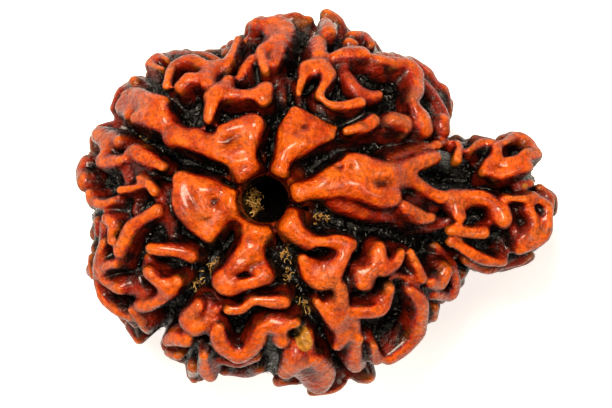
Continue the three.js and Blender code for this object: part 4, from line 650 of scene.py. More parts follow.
@dataclass
class RidgePlan:
    """Where every ridge stands: traced above, turned over below, wandering between."""

    ground: Ground
    wander: Wander = field(default_factory=Wander)
    low_wander: Wander = LOW_WANDER
    steps_per_span: int = 3
    stout: float = 0.38
    outermost: float = 0.95
    stretch: float = 1.08
    trunk_clearance: float = 0.6

    def spine(self, chain: Chain, crest: float, side: int, thinnest: float) -> Spine:
        """Lay a chain's points along a smooth curve and set them over the ground.

        Args:
            chain: Points in plan, each with the ridge's half-width there.
            crest: Height of the crest over the ground.
            side: 1 for the upper side of the seed, -1 for the lower.
            thinnest: The least half-width that is kept.

        Returns:
            The ridge's axis.
        """
        points = np.array([chain[0], *chain, chain[-1]], float)
        before, start, end, after = points[:-3], points[1:-2], points[2:-1], points[3:]
        slope_in, slope_out, run = (end - before) / 2, (after - start) / 2, end - start
        rows = []
        for t in np.arange(self.steps_per_span) / self.steps_per_span:
            bend = (3 * run - 2 * slope_in - slope_out) * t**2
            rows.append(start + slope_in * t + bend + (slope_in + slope_out - 2 * run) * t**3)
        curve = np.concatenate([np.stack(rows, 1).reshape(-1, 3), points[-1:]])
        x, y = curve[:, 0], curve[:, 1]
        width = np.maximum(curve[:, 2], thinnest)
        z = self.ground.find_z(x, y, np.maximum(crest - width, 0.1), side)
        places = np.stack([x, y, z], 1)
        return Spine(places, width, self.ground.height(x, y, z), self.ground.level(x, y, z))

    def edge_radius(self, azimuth: float) -> float:
        """Measure how far the body's edge is from the hole in one direction."""
        cx, cy = self.ground.centre
        along = cx * math.cos(azimuth) + cy * math.sin(azimuth)
        return along + math.sqrt(self.ground.radius**2 - cx * cx - cy * cy + along * along)

    def is_inner(self, chain: Chain) -> bool:
        """Say whether a ridge lies well inside the body's edge."""
        return all(
            math.hypot(x, y) < self.outermost * self.edge_radius(math.atan2(y, x)) for x, y, _ in chain
        )

    def turn_over(self, chain: Chain, lobe: Lobe) -> Chain:
        """Carry a ridge to the lobe that lies under its own, seen from below.

        Args:
            chain: The ridge's points in plan.
            lobe: The lobe that it stands on.

        Returns:
            The points in plan on the lower lobe.
        """
        under = LOBES[lobe.under]
        turned = []
        for x, y, width in chain:
            azimuth = math.degrees(math.atan2(y, x))
            span = lobe.end - lobe.start
            across = (azimuth - lobe.start) % 360 / span
            share = across - 360 / span if across > 2 else across
            way = math.radians(under.start + (1 - share) * (under.end - under.start))
            out = math.hypot(x, y) / self.edge_radius(math.radians(azimuth))
            from_pole = min(math.asin(min(out, 1)) * self.stretch, math.pi / 2)
            radius = math.sin(from_pole) * self.edge_radius(way)
            turned.append((radius * math.cos(way), radius * math.sin(way), width))
        return turned

    def traced(self, thinnest: float) -> tuple[list[Spine], list[Spine]]:
        """Set out every ridge of the tables.

        Args:
            thinnest: The least half-width that is kept.

        Returns:
            The ridges of the upper side, and those of the lower side.
        """
        upper, lower = [], []
        for crest in Crest:
            for name, lobe in LOBES.items():
                for chain in RIDGES.get((name, crest), []):
                    upper.append(self.spine(chain, crest.value, 1, thinnest))
                    if self.is_inner(chain):
                        turned = self.turn_over(chain, lobe)
                        lower.append(self.spine(turned, crest.value, -1, thinnest))
            for chain in TRUNK_RIDGES.get(crest, []):
                above = self.spine(chain, crest.value, 1, thinnest)
                upper.append(above)
                rise = above.places[:, 2] - self.ground.trunk[2]
                if (rise > self.trunk_clearance / 2).all():
                    mirrored = above.places * (1, 1, -1) + (0, 0, 2 * self.ground.trunk[2])
                    lower.append(Spine(mirrored, above.width, above.over, above.level))
        return upper, lower

    def wandering(self, rule: Wander, before: list[Spine]) -> list[Spine]:
        """Set out ridges over what the others leave bare.

        Args:
            rule: How they wander.
            before: The wandering ridges that stand already.

        Returns:
            The wandering ridges, clear of every other.
        """
        upper, lower = self.traced(self.stout)
        traced = np.concatenate([np.column_stack([s.places[:, :2], s.width]) for s in upper])
        taken = np.concatenate([spine.places for spine in upper + lower + before])
        ground = self.ground
        overs = np.array(rule.crests) - rule.half_width
        added = []

        def is_clear(place: np.ndarray, clearance: float) -> bool:
            """Say whether a place is far enough from every ridge."""
            return bool((np.linalg.norm(taken - place, axis=1) > clearance).all())

        def stand(places: np.ndarray) -> tuple[np.ndarray, np.ndarray, np.ndarray]:
            """Find how a ridge stands at each place without showing past the outline."""
            room = GROOVE_MAP.distances(places[:, 0], places[:, 1])
            least = rule.groove_clearance * GROOVE_MAP.half_width + rule.half_width
            open_ground = (places[:, 2] <= rule.highest) & (room >= least).all(axis=1)
            tries = np.repeat(places[:, None, :], len(overs), axis=1)
            at = ground.settle(tries, np.broadcast_to(overs, tries.shape[:2]))
            edge = at[..., :2] + rule.half_width * ground.outward(at)[..., :2]
            within = ground.height(edge[..., 0], edge[..., 1], np.zeros(edge.shape[:-1])) < rule.shows
            away = np.linalg.norm(edge[..., None, :] - traced[:, :2], axis=-1)
            fits = within | (away <= traced[:, 2] + 0.1).any(axis=-1)
            best = np.argmax(fits, axis=1)
            rows = np.arange(len(places))
            return open_ground & fits.any(axis=1), at[rows, best], overs[best]

        def walk(start: np.ndarray, sense: int) -> list[tuple[np.ndarray, float]]:
            """Follow the ground from a start, one way along the flow."""
            way, at = [], start
            for _ in range(rule.steps):
                x, y, z = at
                flow = (
                    math.sin(0.9 * y + 0.5 * z),
                    math.sin(0.8 * z + 0.6 * x + 1),
                    math.sin(0.7 * x + 0.9 * y + 2),
                )
                heading = np.cross(ground.outward(at), flow)
                heading = heading / np.linalg.norm(heading)
                fits, found, over = stand((at + sense * rule.stride * heading)[None])
                if not fits[0] or not is_clear(found[0], rule.clearance):
                    break
                way.append((found[0], over[0]))
                at = found[0]
            return way

        order = np.arange(rule.starts)
        up = 1 - (2 * (order * 7 % rule.starts) + 1) / rule.starts
        flat = np.sqrt(1 - up * up)
        turn = order * math.pi * (3 - math.sqrt(5))
        on_trunk = order % rule.trunk_share == 0
        centre = np.where(on_trunk[:, None], ground.trunk, (*ground.centre, 0.0))
        reach = np.where(on_trunk, ground.trunk_reach[1], ground.radius)
        way_out = np.stack([flat * np.cos(turn), flat * np.sin(turn), up], 1)
        one = np.ones(rule.starts)
        places = ground.settle(ground.settle(centre + reach[:, None] * way_out, one), one)
        for fits, *start in zip(*stand(places)):
            if not fits or not is_clear(start[0], rule.spacing):
                continue
            way = [*walk(start[0], -1)[::-1], start, *walk(start[0], 1)]
            if len(way) < 3:
                continue
            places = np.array([at for at, _ in way])
            over = np.array([height for _, height in way])
            taken = np.concatenate([taken, places])
            level = ground.level(*places.T)
            added.append(Spine(places, np.full(len(way), rule.half_width), over, level))
        return added


@dataclass(frozen=True)
class Lattice:
    """The regular points on which the seed's form is worked out."""

    low: Corner = (-13.0, -13.4, -11.6)
    high: Corner = (19.1, 13.9, 11.5)
    step: float = 0.15

    @property
    def shape(self) -> tuple[int, int, int]:
        """Number of points along each axis."""
        return tuple(int((b - a) / self.step) + 1 for a, b in zip(self.low, self.high))

    def axes(self, window: tuple[slice, slice, slice] | None = None) -> list[np.ndarray]:
        """Give the x, y and z of a window of the lattice, ready to be combined."""
        out = []
        for axis, (low, count) in enumerate(zip(self.low, self.shape)):
            line = (low + self.step * np.arange(count)).astype(np.float32)
            if window is not None:
                line = line[window[axis]]
            out.append(line.reshape([-1 if i == axis else 1 for i in range(3)]))
        return out

    def window(self, low: np.ndarray, high: np.ndarray) -> tuple[slice, slice, slice]:
        """Find the slices of the lattice that lie between two corners."""
        cuts = []
        for axis, count in enumerate(self.shape):
            first = math.ceil((low[axis] - self.low[axis]) / self.step)
            last = math.floor((high[axis] - self.low[axis]) / self.step)
            cuts.append(slice(max(first, 0), min(last, count - 1) + 1))
        return tuple(cuts)

    def sample(self, values: np.ndarray, places: np.ndarray) -> np.ndarray:
        """Read a value between the lattice's points.

        Args:
            values: One value for each point of the lattice.
            places: Rows of x, y and z.

        Returns:
            The value at each row, in a straight line between the points.
        """
        at = (places - np.array(self.low)) / self.step
        at = np.clip(at, 0, np.array(self.shape) - 1.001)
        base = at.astype(int)
        share = at - base
        total = np.zeros(len(places))
        for corner in np.ndindex(2, 2, 2):
            weight = np.prod(np.where(corner, share, 1 - share), axis=1)
            i, j, k = (base + corner).T
            total += weight * values[i, j, k]
        return total

    def noise(self, spacing: float, seed: int) -> np.ndarray:
        """Make a smooth random value for each point, from about -1 to 1.

        Args:
            spacing: How far apart its lumps are, in millimetres.
            seed: Which draw it is.

        Returns:
            The values.
        """
        counts = [int((b - a) / spacing) + 5 for a, b in zip(self.low, self.high)]
        values = np.random.default_rng(seed).uniform(-1, 1, counts).astype(np.float32)
        for axis, count in enumerate(self.shape):
            at = np.arange(count) * self.step / spacing
            base = at.astype(int)
            t = (at - base)[:, None]
            weights = np.hstack(
                [(1 - t) ** 3, 3 * t**3 - 6 * t**2 + 4, 1 + 3 * t + 3 * t**2 - 3 * t**3, t**3]
            )
            spread = np.zeros((count, counts[axis]), np.float32)
            for i in range(4):
                spread[np.arange(count), base + i] = weights[:, i] / 6
            values = np.moveaxis(np.tensordot(spread, values, (1, axis)), 0, axis)
        return 2.2 * values

    def blur(self, values: np.ndarray, reach: float) -> np.ndarray:
        """Average each point with those about it, twice over.

        Args:
            values: One value for each point of the lattice.
            reach: How far the average reaches, in millimetres.

        Returns:
            The averages.
        """
        half = max(int(round(reach / self.step)), 1)
        for axis in (0, 1, 2, 0, 1, 2):
            ends = [(half + 1, half) if i == axis else (0, 0) for i in range(3)]
            total = np.cumsum(np.pad(values, ends, mode="edge"), axis=axis, dtype=np.float64)
            count = values.shape[axis]
            upper = np.take(total, range(2 * half + 1, 2 * half + 1 + count), axis=axis)
            lower = np.take(total, range(count), axis=axis)
            values = ((upper - lower) / (2 * half + 1)).astype(np.float32)
        return values


@dataclass(frozen=True)
class Section:
    """The shape of a ridge across its length, and how ridges run together."""

    flare: float = 0.16
    root: float = 0.5
    merge: float = 0.32
    foot: float = 0.38
    warp: float = 0.14
    warp_spacing: float = 1.4


@dataclass(frozen=True)
class Bore:
    """The hole, from its mouth above to the one below, and how far it leans."""

    profile: tuple[Point, ...] = (
        *((-18.4, 1.35), (-14.4, 1.35), (-12.4, 1.05), (-7.7, 0.75)),
        *((-2.2, 1.05), (0, 1.5), (3, 1.5)),
    )
    lean: float = 5.0
    bend: float = 2.2
    bend_middle: float = -7.7
    bend_half: float = 3.6

    def distance(self, x: np.ndarray, y: np.ndarray, z: np.ndarray) -> np.ndarray:
        """Measure how far places are inside the hole's wall.

        Args:
            x: The places' x.
            y: The places' y.
            z: The places' heights over the hole's mouth.

        Returns:
            The distances, positive in the hole.
        """
        lean = math.radians(self.lean)
        aside = x * math.cos(lean) + z * math.sin(lean)
        along = z * math.cos(lean) - x * math.sin(lean)
        levels, radii = zip(*self.profile)
        sideways = y - self.bend * bell(along - self.bend_middle, self.bend_half)
        return np.interp(along, levels, radii).astype(np.float32) - np.hypot(aside, sideways)


@dataclass(frozen=True)
class Relief:
    """What the form knows of each lattice point before the ridges are laid on."""

    height: np.ndarray
    level: np.ndarray
    warp: list[np.ndarray]

    def cut(self, window: tuple[slice, slice, slice]) -> "Relief":
        """Give the part of it that lies in a window of the lattice."""
        return Relief(self.height[window], self.level[window], [block[window] for block in self.warp])


@dataclass(frozen=True)
class Lumps:
    """Random unevenness: how high and how far apart its lumps are, and which draw it is."""

    height: float
    spacing: float
    seed: int

    def on(self, lattice: Lattice) -> np.ndarray:
        """Give the unevenness at each point of a lattice."""
        return self.height * lattice.noise(self.spacing, self.seed)


@dataclass
class SeedForm:
    """Works out the seed's surface and what its finish needs to know of each point."""

    ground: Ground = field(default_factory=Ground)
    section: Section = field(default_factory=Section)
    bore: Bore = field(default_factory=Bore)
    lattice: Lattice = field(default_factory=Lattice)
    flat_cut: float = 0.55
    thinnest: float = 0.2
    fullness: float = 0.03
    mouth_rounding: float = 0.3
    lumps: tuple[Lumps, ...] = (Lumps(0.18, 1.6, 11), Lumps(0.09, 0.7, 12))
    rough: Lumps = Lumps(0.10, 0.42, 13)

    def stretch_distance(
        self, axes: list[np.ndarray], relief: Relief, spine: Spine, i: int
    ) -> np.ndarray:
        """Measure how far places are from one stretch of a ridge.

        Args:
            axes: The places' x, y and z.
            relief: Their heights over the ground and the body, and how far each is moved.
            spine: The ridge.
            i: Which of its stretches.

        Returns:
            The distance outside a round crest over a wall that flares to its foot.
        """
        start = spine.places[i].astype(np.float32)
        run = (spine.places[i + 1] - spine.places[i]).astype(np.float32)
        length = max(float(run @ run), 1e-9)
        gaps = [axis - start[k] + relief.warp[k] for k, axis in enumerate(axes)]
        along = sum(gap * (run[k] / length) for k, gap in enumerate(gaps))
        share = np.clip(along, 0, 1)
        away = np.sqrt(sum((gap - share * run[k]) ** 2 for k, gap in enumerate(gaps)))
        width = np.float32(spine.width[i]) + share * np.float32(spine.width[i + 1] - spine.width[i])
        level = np.float32(spine.level[i]) + share * np.float32(spine.level[i + 1] - spine.level[i])
        rise = relief.level - level
        aside = np.sqrt(np.maximum(away * away - rise * rise, 0))
        wall = np.maximum(aside - width + self.section.flare * rise, -relief.height - self.section.root)
        return np.where(rise >= 0, away - width, wall)

    def ridge_field(self, relief: Relief, spines: list[Spine]) -> np.ndarray:
        """Measure how far the lattice's points are from the ridges.

        Args:
            relief: What the form knows of each point.
            spines: The ridges.

        Returns:
            The distance outside all ridges, negative inside them.
        """
        section, far = self.section, np.float32(10)
        ridges = np.full(self.lattice.shape, far, np.float32)
        for spine in spines:
            depth = spine.over.max() + section.root
            reach = spine.width.max() + section.flare * depth + section.foot
            margin = math.hypot(depth, reach)
            low, high = spine.places.min(0) - margin, spine.places.max(0) + margin
            whole = self.lattice.window(low, high)
            one = np.full(ridges[whole].shape, far, np.float32)
            for i in range(len(spine.places) - 1):
                ends = spine.places[i : i + 2]
                part = self.lattice.window(ends.min(0) - margin, ends.max(0) + margin)
                local = tuple(slice(p.start - w.start, p.stop - w.start) for p, w in zip(part, whole))
                distance = self.stretch_distance(self.lattice.axes(part), relief.cut(part), spine, i)
                one[local] = np.minimum(one[local], distance)
            ridges[whole] = np.where(one < far, blend(ridges[whole], one, section.merge), ridges[whole])
        return ridges

    def uneven(self, height: np.ndarray) -> np.ndarray:
        """Add what ridges alone don't give: collar, sutures, dents and uneven wood.

        Args:
            height: Height of each lattice point over the ground.

        Returns:
            What to add to the distance outside the seed.
        """
        x, y, z = self.lattice.axes()
        upper = fade(z, 0.5, 2.0)
        on_ridge = fade(height, 0.3, 0.9)
        lumps = sum(lump.on(self.lattice) for lump in self.lumps)
        added = lumps * on_ridge + self.rough.on(self.lattice) * (1 - on_ridge)
        radius = np.hypot(x, y)
        added = added - COLLAR.rise * bell(radius - COLLAR.radius, COLLAR.half_width) * upper
        for suture in SUTURES:
            away = GrooveMap([Groove(1, suture)]).distances(x, y)[..., 0]
            added = added + COLLAR.suture_depth * bell(away, COLLAR.suture_half_width) * upper
        for dent in DENTS:
            added = added + dent.depth_at(x, y) * upper * on_ridge
        return added.astype(np.float32)

    def solve(self) -> "SeedField":
        """Work out the seed's surface on the lattice.

        Returns:
            The distance outside the seed and the height over the ground at each point.
        """
        axes = self.lattice.axes()
        height = self.ground.height(*axes).astype(np.float32)
        level = self.ground.level(*axes).astype(np.float32)
        section = self.section
        warp = [section.warp * self.lattice.noise(section.warp_spacing, 20 + axis) for axis in range(3)]
        plan = RidgePlan(self.ground)
        upper, lower = plan.traced(self.thinnest)
        wandering = plan.wandering(plan.wander, [])
        wandering += plan.wandering(plan.low_wander, wandering)
        ridges = self.ridge_field(Relief(height, level, warp), [*upper, *lower, *wandering])
        values = blend(height, ridges, section.foot) + self.uneven(height) - self.fullness
        x, y, z = axes
        hole = self.bore.distance(x, y, z - self.ground.mouth_level)
        values = -blend(-values, -hole, self.mouth_rounding)
        return SeedField(self.lattice, values.astype(np.float32), height, hole.astype(np.float32))


@dataclass(frozen=True)
class Collar:
    """The smooth rim round the hole, and the fine sutures that part its lobes."""

    radius: float = 1.95
    half_width: float = 0.6
    rise: float = 0.5
    suture_depth: float = 0.8
    suture_half_width: float = 0.11


COLLAR = Collar()

SUTURES: list[list[Point]] = [
    [(0.05, 1.1), (0.12, 2.1), (0.2, 3.1)],
    [(-1.0, 0.6), (-1.9, 0.85), (-2.6, 1.2)],
    [(0.35, -1.0), (0.45, -1.6), (0.9, -2.8)],
    [(1.2, -0.2), (1.9, -0.35), (2.5, -0.55)],
]


@dataclass(frozen=True)
class Dent:
    """A dimple or crease in a crest: its place in plan, its reach and its depth."""

    x: float
    y: float
    length: float
    width: float
    depth: float
    azimuth: float = 0.0

    def depth_at(self, x: np.ndarray, y: np.ndarray) -> np.ndarray:
        """Give how deep the dent is at places in plan."""
        turn = math.radians(self.azimuth)
        along = (x - self.x) * math.cos(turn) + (y - self.y) * math.sin(turn)
        aside = (y - self.y) * math.cos(turn) - (x - self.x) * math.sin(turn)
        return self.depth * np.exp(-((along / self.length) ** 2) - (aside / self.width) ** 2)


DENTS = [
    Dent(-1.6, 2.5, 0.50, 0.40, 0.22),
    Dent(-2.2, 3.75, 0.45, 0.30, 0.14, 20),
    Dent(-3.4, 4.35, 0.40, 0.20, 0.25, 10),
    Dent(-0.3, 10.2, 0.40, 0.20, 0.25),
    Dent(-3.1, 0.1, 0.45, 0.28, 0.20, 20),
    Dent(-4.35, -0.1, 1.10, 0.30, 0.22, 115),
    Dent(-0.8, -2.6, 0.40, 0.30, 0.15),
    Dent(-1.4, -3.6, 0.45, 0.25, 0.15, 40),
    Dent(-1.4, -4.7, 0.65, 0.16, 0.28, 8),
    Dent(-0.3, -3.95, 0.30, 0.20, 0.20),
    Dent(0.25, -9.5, 0.30, 0.25, 0.50),
    Dent(3.5, -3.3, 0.35, 0.28, 0.40, 10),
    Dent(4.6, 2.05, 0.24, 0.20, 0.35),
    Dent(5.3, 2.2, 0.22, 0.18, 0.25),
    Dent(7.3, 1.0, 0.80, 0.35, 0.25, 10),
    Dent(2.5, 4.8, 0.45, 0.28, 0.20, 60),
    Dent(1.9, 4.2, 0.30, 0.22, 0.15),
    Dent(2.9, 7.1, 0.65, 0.20, 0.45, 50),
    Dent(15.4, 3.1, 0.45, 0.30, 0.45),
    Dent(16.2, -1.3, 0.60, 0.45, 0.20),
    Dent(1.7, -8.4, 0.28, 0.22, 0.55),
]


@dataclass
class SeedField:
    """The seed's form on the lattice: one value for each of its points."""

    lattice: Lattice
    distance: np.ndarray
    height: np.ndarray
    hole: np.ndarray

    def skin(self) -> tuple[np.ndarray, np.ndarray]:
        """Draw the surface where the distance is nothing.

        Returns:
            The surface's points, and its four-sided faces, pointing out.
        """
        values, lattice = self.distance, self.lattice
        inside = values < 0
        corners = list(np.ndindex(2, 2, 2))
        cells = [n - 1 for n in inside.shape]

        def at(block: np.ndarray, corner: tuple[int, ...]) -> np.ndarray:
            """Give one corner of every cell."""
            return block[tuple(slice(c, c + n) for c, n in zip(corner, cells))]

        count = sum(at(inside, corner).astype(np.int8) for corner in corners)
        base = np.argwhere((count > 0) & (count < 8))
        index = np.full(cells, -1, np.int32)
        index[tuple(base.T)] = np.arange(len(base))
        total, hits = np.zeros((len(base), 3)), np.zeros((len(base), 1))
        for axis in range(3):
            for first in (corner for corner in corners if corner[axis] == 0):
                second = np.array(first) + np.eye(3, dtype=int)[axis]
                low = values[tuple((base + first).T)]
                high = values[tuple((base + second).T)]
                crosses = ((low < 0) != (high < 0))[:, None]
                share = np.divide(low, low - high, out=np.zeros_like(low), where=crosses[:, 0])
                place = np.array(first) + share[:, None] * np.eye(3)[axis]
                total += crosses * place
                hits += crosses
        points = np.array(lattice.low) + lattice.step * (base + total / hits)
        faces = []
        for axis in range(3):
            u, v = (axis + 1) % 3, (axis + 2) % 3
            low = inside[tuple(slice(0, -1) if i == axis else slice(1, -1) for i in range(3))]
            high = inside[tuple(slice(1, None) if i == axis else slice(1, -1) for i in range(3))]
            node = np.argwhere(low != high) + [0 if i == axis else 1 for i in range(3)]
            outward = inside[tuple(node.T)]
            ring = []
            for du, dv in ((-1, -1), (0, -1), (0, 0), (-1, 0)):
                shift = np.zeros(3, int)
                shift[u], shift[v] = du, dv
                ring.append(index[tuple((node + shift).T)])
            quads = np.stack(ring, 1)
            faces.append(np.where(outward[:, None], quads, quads[:, ::-1]))
        return points, np.concatenate(faces)

    def mend(self) -> None:
        """Fill the lattice points where the surface would touch itself along an edge."""
        values = self.distance
        for _ in range(6):
            inside = values < 0
            spots = []
            for axis in range(3):
                u, v = [i for i in range(3) if i != axis]
                cut = {}
                for du in (0, 1):
                    for dv in (0, 1):
                        window = [slice(None)] * 3
                        window[u] = slice(du, inside.shape[u] - 1 + du)
                        window[v] = slice(dv, inside.shape[v] - 1 + dv)
                        cut[du, dv] = inside[tuple(window)]
                crossed = (cut[0, 0] == cut[1, 1]) & (cut[0, 1] == cut[1, 0]) & (cut[0, 0] != cut[0, 1])
                for du, dv in cut:
                    shift = np.zeros(3, int)
                    shift[u], shift[v] = du, dv
                    spots.append(np.argwhere(crossed & ~cut[du, dv]) + shift)
            spots = np.unique(np.concatenate(spots), axis=0)
            if not len(spots):
                break
            values[tuple(spots.T)] = -self.lattice.step / 10


def largest_shell(points: np.ndarray, faces: np.ndarray) -> tuple[np.ndarray, np.ndarray]:
    """Keep the largest connected surface, without loose scraps and sealed hollows.

    Args:
        points: The surface's points.
        faces: Its faces, as rows of point numbers.

    Returns:
        The points and faces that are kept.
    """
    label = np.arange(len(points))
    edges = np.concatenate([faces[:, [i, (i + 1) % faces.shape[1]]] for i in range(faces.shape[1])])
    while True:
        least = label.copy()
        np.minimum.at(least, edges[:, 0], label[edges[:, 1]])
        np.minimum.at(least, edges[:, 1], label[edges[:, 0]])
        least = least[least]
        if (least == label).all():
            break
        label = least
    names, sizes = np.unique(label, return_counts=True)
    kept = label == names[np.argmax(sizes)]
    number = np.cumsum(kept) - 1
    return points[kept], number[faces[kept[faces[:, 0]]]]


@dataclass(frozen=True)
class Patch:
    """A round patch on the upper side, by its place in plan, its reach and its strength."""

    x: float
    y: float
    reach: float
    strength: float = 1.0

    def share_at(self, places: np.ndarray) -> np.ndarray:
        """Give how much of the patch there is at places on the upper side."""
        away = np.hypot(places[:, 0] - self.x, places[:, 1] - self.y)
        return self.strength * bell(away, self.reach) * (places[:, 2] > 0)


ROUGH_PATCHES = [
    Patch(-4.75, -0.75, 0.9),
    Patch(-4.5, -7.0, 0.7),
    Patch(2.2, -10.2, 0.6),
    Patch(4.5, -6.5, 0.6),
    Patch(6.5, -4.5, 0.7),
    Patch(10.7, -4.7, 0.5),
    Patch(9.6, -0.8, 0.6),
    Patch(9.2, 2.3, 0.5),
    Patch(9.1, 6.5, 0.7),
    Patch(11.7, -0.3, 0.8),
    Patch(16.5, -2.3, 0.8),
    Patch(13.2, 3.5, 0.6),
]

CHIPS = [Patch(2.15, -8.2, 0.5), Patch(2.45, -9.0, 0.6), Patch(16.2, 0.9, 0.5, 0.6)]

STRAW = [
    Patch(3.5, -1.0, 0.28, 1.0),
    Patch(1.1, -3.4, 0.35, 0.8),
    Patch(1.4, -5.4, 0.4, 0.7),
    Patch(1.4, -4.6, 0.25, 0.8),
    Patch(-4.5, -5.0, 0.4, 0.9),
    Patch(-3.2, -4.0, 0.3, 0.6),
    Patch(2.4, -6.6, 0.3, 0.6),
    Patch(-7.9, 3.9, 0.3, 0.5),
]


@dataclass
class SeedMesh:
    """The seed's skin as a mesh in the frame, with what its finish reads at each point."""

    form: SeedForm = field(default_factory=SeedForm)
    most_triangles: int = 195_000
    collar_edge: Point = (2.4, 3.3)
    hole_wall: Point = (-0.22, -0.05)
    bare_height: Point = (0.3, 0.6)
    crease_reach: float = 0.3
    open_reach: float = 0.9
    fibrous_above: float = -3.0
    fibres_below: float = 0.3
    hole_straw_x: float = -0.4
    hole_straw_y: float = -0.1
    hole_straw_half: float = 0.8
    hole_straw_depth: Point = (1.0, 3.4)

    def fit(self, points: np.ndarray) -> tuple[np.ndarray, np.ndarray]:
        """Find how the plan's millimetres lie in the frame.

        Args:
            points: The skin's points.

        Returns:
            A scale for each axis and a shift, so that frame = scale * point + shift.
        """
        low, high = (np.array(corner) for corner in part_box(NODE))
        size = np.ptp(points, axis=0)
        scale = (high - low) / size
        shift = low - scale * points.min(0)
        return scale, shift

    def build(self) -> "SeedPiece":
        """Make the seed's mesh.

        Returns:
            The seed as an object, with the numbers that place things on it.
        """
        solved = self.form.solve()
        solved.mend()
        points, faces = largest_shell(*solved.skin())
        rest = points[:, 2].min() + self.form.flat_cut
        points[:, 2] = np.maximum(points[:, 2], rest)
        scale, shift = self.fit(points)
        mesh = bpy.data.meshes.new(NODE)
        mesh.from_pydata((points * scale + shift).tolist(), [], faces.tolist())
        seed = bpy.data.objects.new("seed_shell", mesh)
        bpy.context.scene.collection.objects.link(seed)
        self.thin(seed, 2 * len(faces))
        seed.data.shade_smooth()
        places = np.empty(len(seed.data.vertices) * 3)
        seed.data.vertices.foreach_get("co", places)
        places = (places.reshape(-1, 3) - shift) / scale
        self.mark(seed.data, solved, places)
        return SeedPiece(seed, scale, shift)

    def thin(self, seed: bpy.types.Object, triangles: int) -> None:
        """Draw flat stretches of the skin together until few enough triangles are left.

        Args:
            seed: The seed's object.
            triangles: How many triangles its mesh has now.
        """
        split = seed.modifiers.new("split", "TRIANGULATE")
        thin = seed.modifiers.new("thin", "DECIMATE")
        thin.ratio = min(self.most_triangles / triangles, 1)
        plain = bpy.data.meshes.new_from_object(seed.evaluated_get(bpy.context.evaluated_depsgraph_get()))
        seed.modifiers.remove(split)
        seed.modifiers.remove(thin)
        seed.data = plain

    def facing(self, mesh: bpy.types.Mesh) -> np.ndarray:
        """Read the way that the skin faces at each of its points."""
        facing = np.empty(len(mesh.vertices) * 3)
        mesh.vertices.foreach_get("normal", facing)
        return facing.reshape(-1, 3)

    def slope(self, mesh: bpy.types.Mesh, places: np.ndarray) -> np.ndarray:
        """Find how level the skin lies: 1 where it faces straight out of the body, 0 on a wall.

        Args:
            mesh: The seed's mesh.
            places: The mesh's points, in plan millimetres.

        Returns:
            The number for each point.
        """
        steps = 0.1 * np.eye(3)
        measure = self.form.ground.level
        rise = [measure(*(places + step).T) - measure(*(places - step).T) for step in steps]
        out = np.stack(rise, 1)
        out = out / np.maximum(np.linalg.norm(out, axis=1, keepdims=True), 1e-9)
        return (self.facing(mesh) * out).sum(1)

    def mark(self, mesh: bpy.types.Mesh, solved: "SeedField", places: np.ndarray) -> None:
        """Write what the finishes and the fibres read at each point of the skin.

        Args:
            mesh: The seed's mesh.
            solved: The seed's form on the lattice.
            places: The mesh's points, in plan millimetres.
        """
        lattice = solved.lattice
        filled = np.clip(0.5 - solved.distance / lattice.step, 0, 1)
        height = lattice.sample(solved.height, places)
        radius = np.hypot(places[:, 0], places[:, 1])
        hole = lattice.sample(solved.hole, places)
        upper = places[:, 2] > 0
        collar = (1 - fade(radius, *self.collar_edge)) * upper
        in_hole = fade(hole, *self.hole_wall) * (np.abs(places[:, 2]) < self.form.ground.mouth_level)
        bare = 1 - fade(height, *self.bare_height)
        straw = sum(patch.share_at(places) for patch in STRAW) * bare
        aside = np.abs(places[:, 1] - self.hole_straw_y)
        left_wall = (places[:, 0] < self.hole_straw_x) & (aside < self.hole_straw_half)
        depth = self.form.ground.mouth_level - places[:, 2]
        shallow, deep = self.hole_straw_depth
        hole_straw = in_hole * left_wall * (depth > shallow) * (depth < deep)
        thinner = np.where(places[:, 2] > self.fibrous_above, 1, self.fibres_below)
        marks = {
            "height": height,
            "crease": lattice.sample(lattice.blur(filled, self.crease_reach), places) - 0.5,
            "open": 0.5 - lattice.sample(lattice.blur(filled, self.open_reach), places),
            "slope": self.slope(mesh, places),
            "lying": np.abs(self.facing(mesh)[:, 2]),
            "collar": collar,
            "in_hole": in_hole,
            "rough_patch": sum(patch.share_at(places) for patch in ROUGH_PATCHES),
            "chip": sum(patch.share_at(places) for patch in CHIPS),
            "fibre": bare * (1 - collar) * (1 - in_hole) * thinner,
            "straw": np.clip(straw, 0, 1),
            "hole_straw": hole_straw,
        }
        for name, values in marks.items():
            mesh.attributes.new(name, "FLOAT", "POINT").data.foreach_set("value", values.astype(np.float32))


@dataclass
class SeedPiece:
    """The seed's object, and how plan millimetres lie in the frame."""

    seed: bpy.types.Object
    scale: np.ndarray
    shift: np.ndarray

    def in_frame(self, x: float, y: float, z: float) -> np.ndarray:
        """Carry a place from the plan's millimetres to the frame's metres."""
        return self.scale * (x, y, z) + self.shift


Colour = tuple[float, float, float]
Socket = bpy.types.NodeSocket


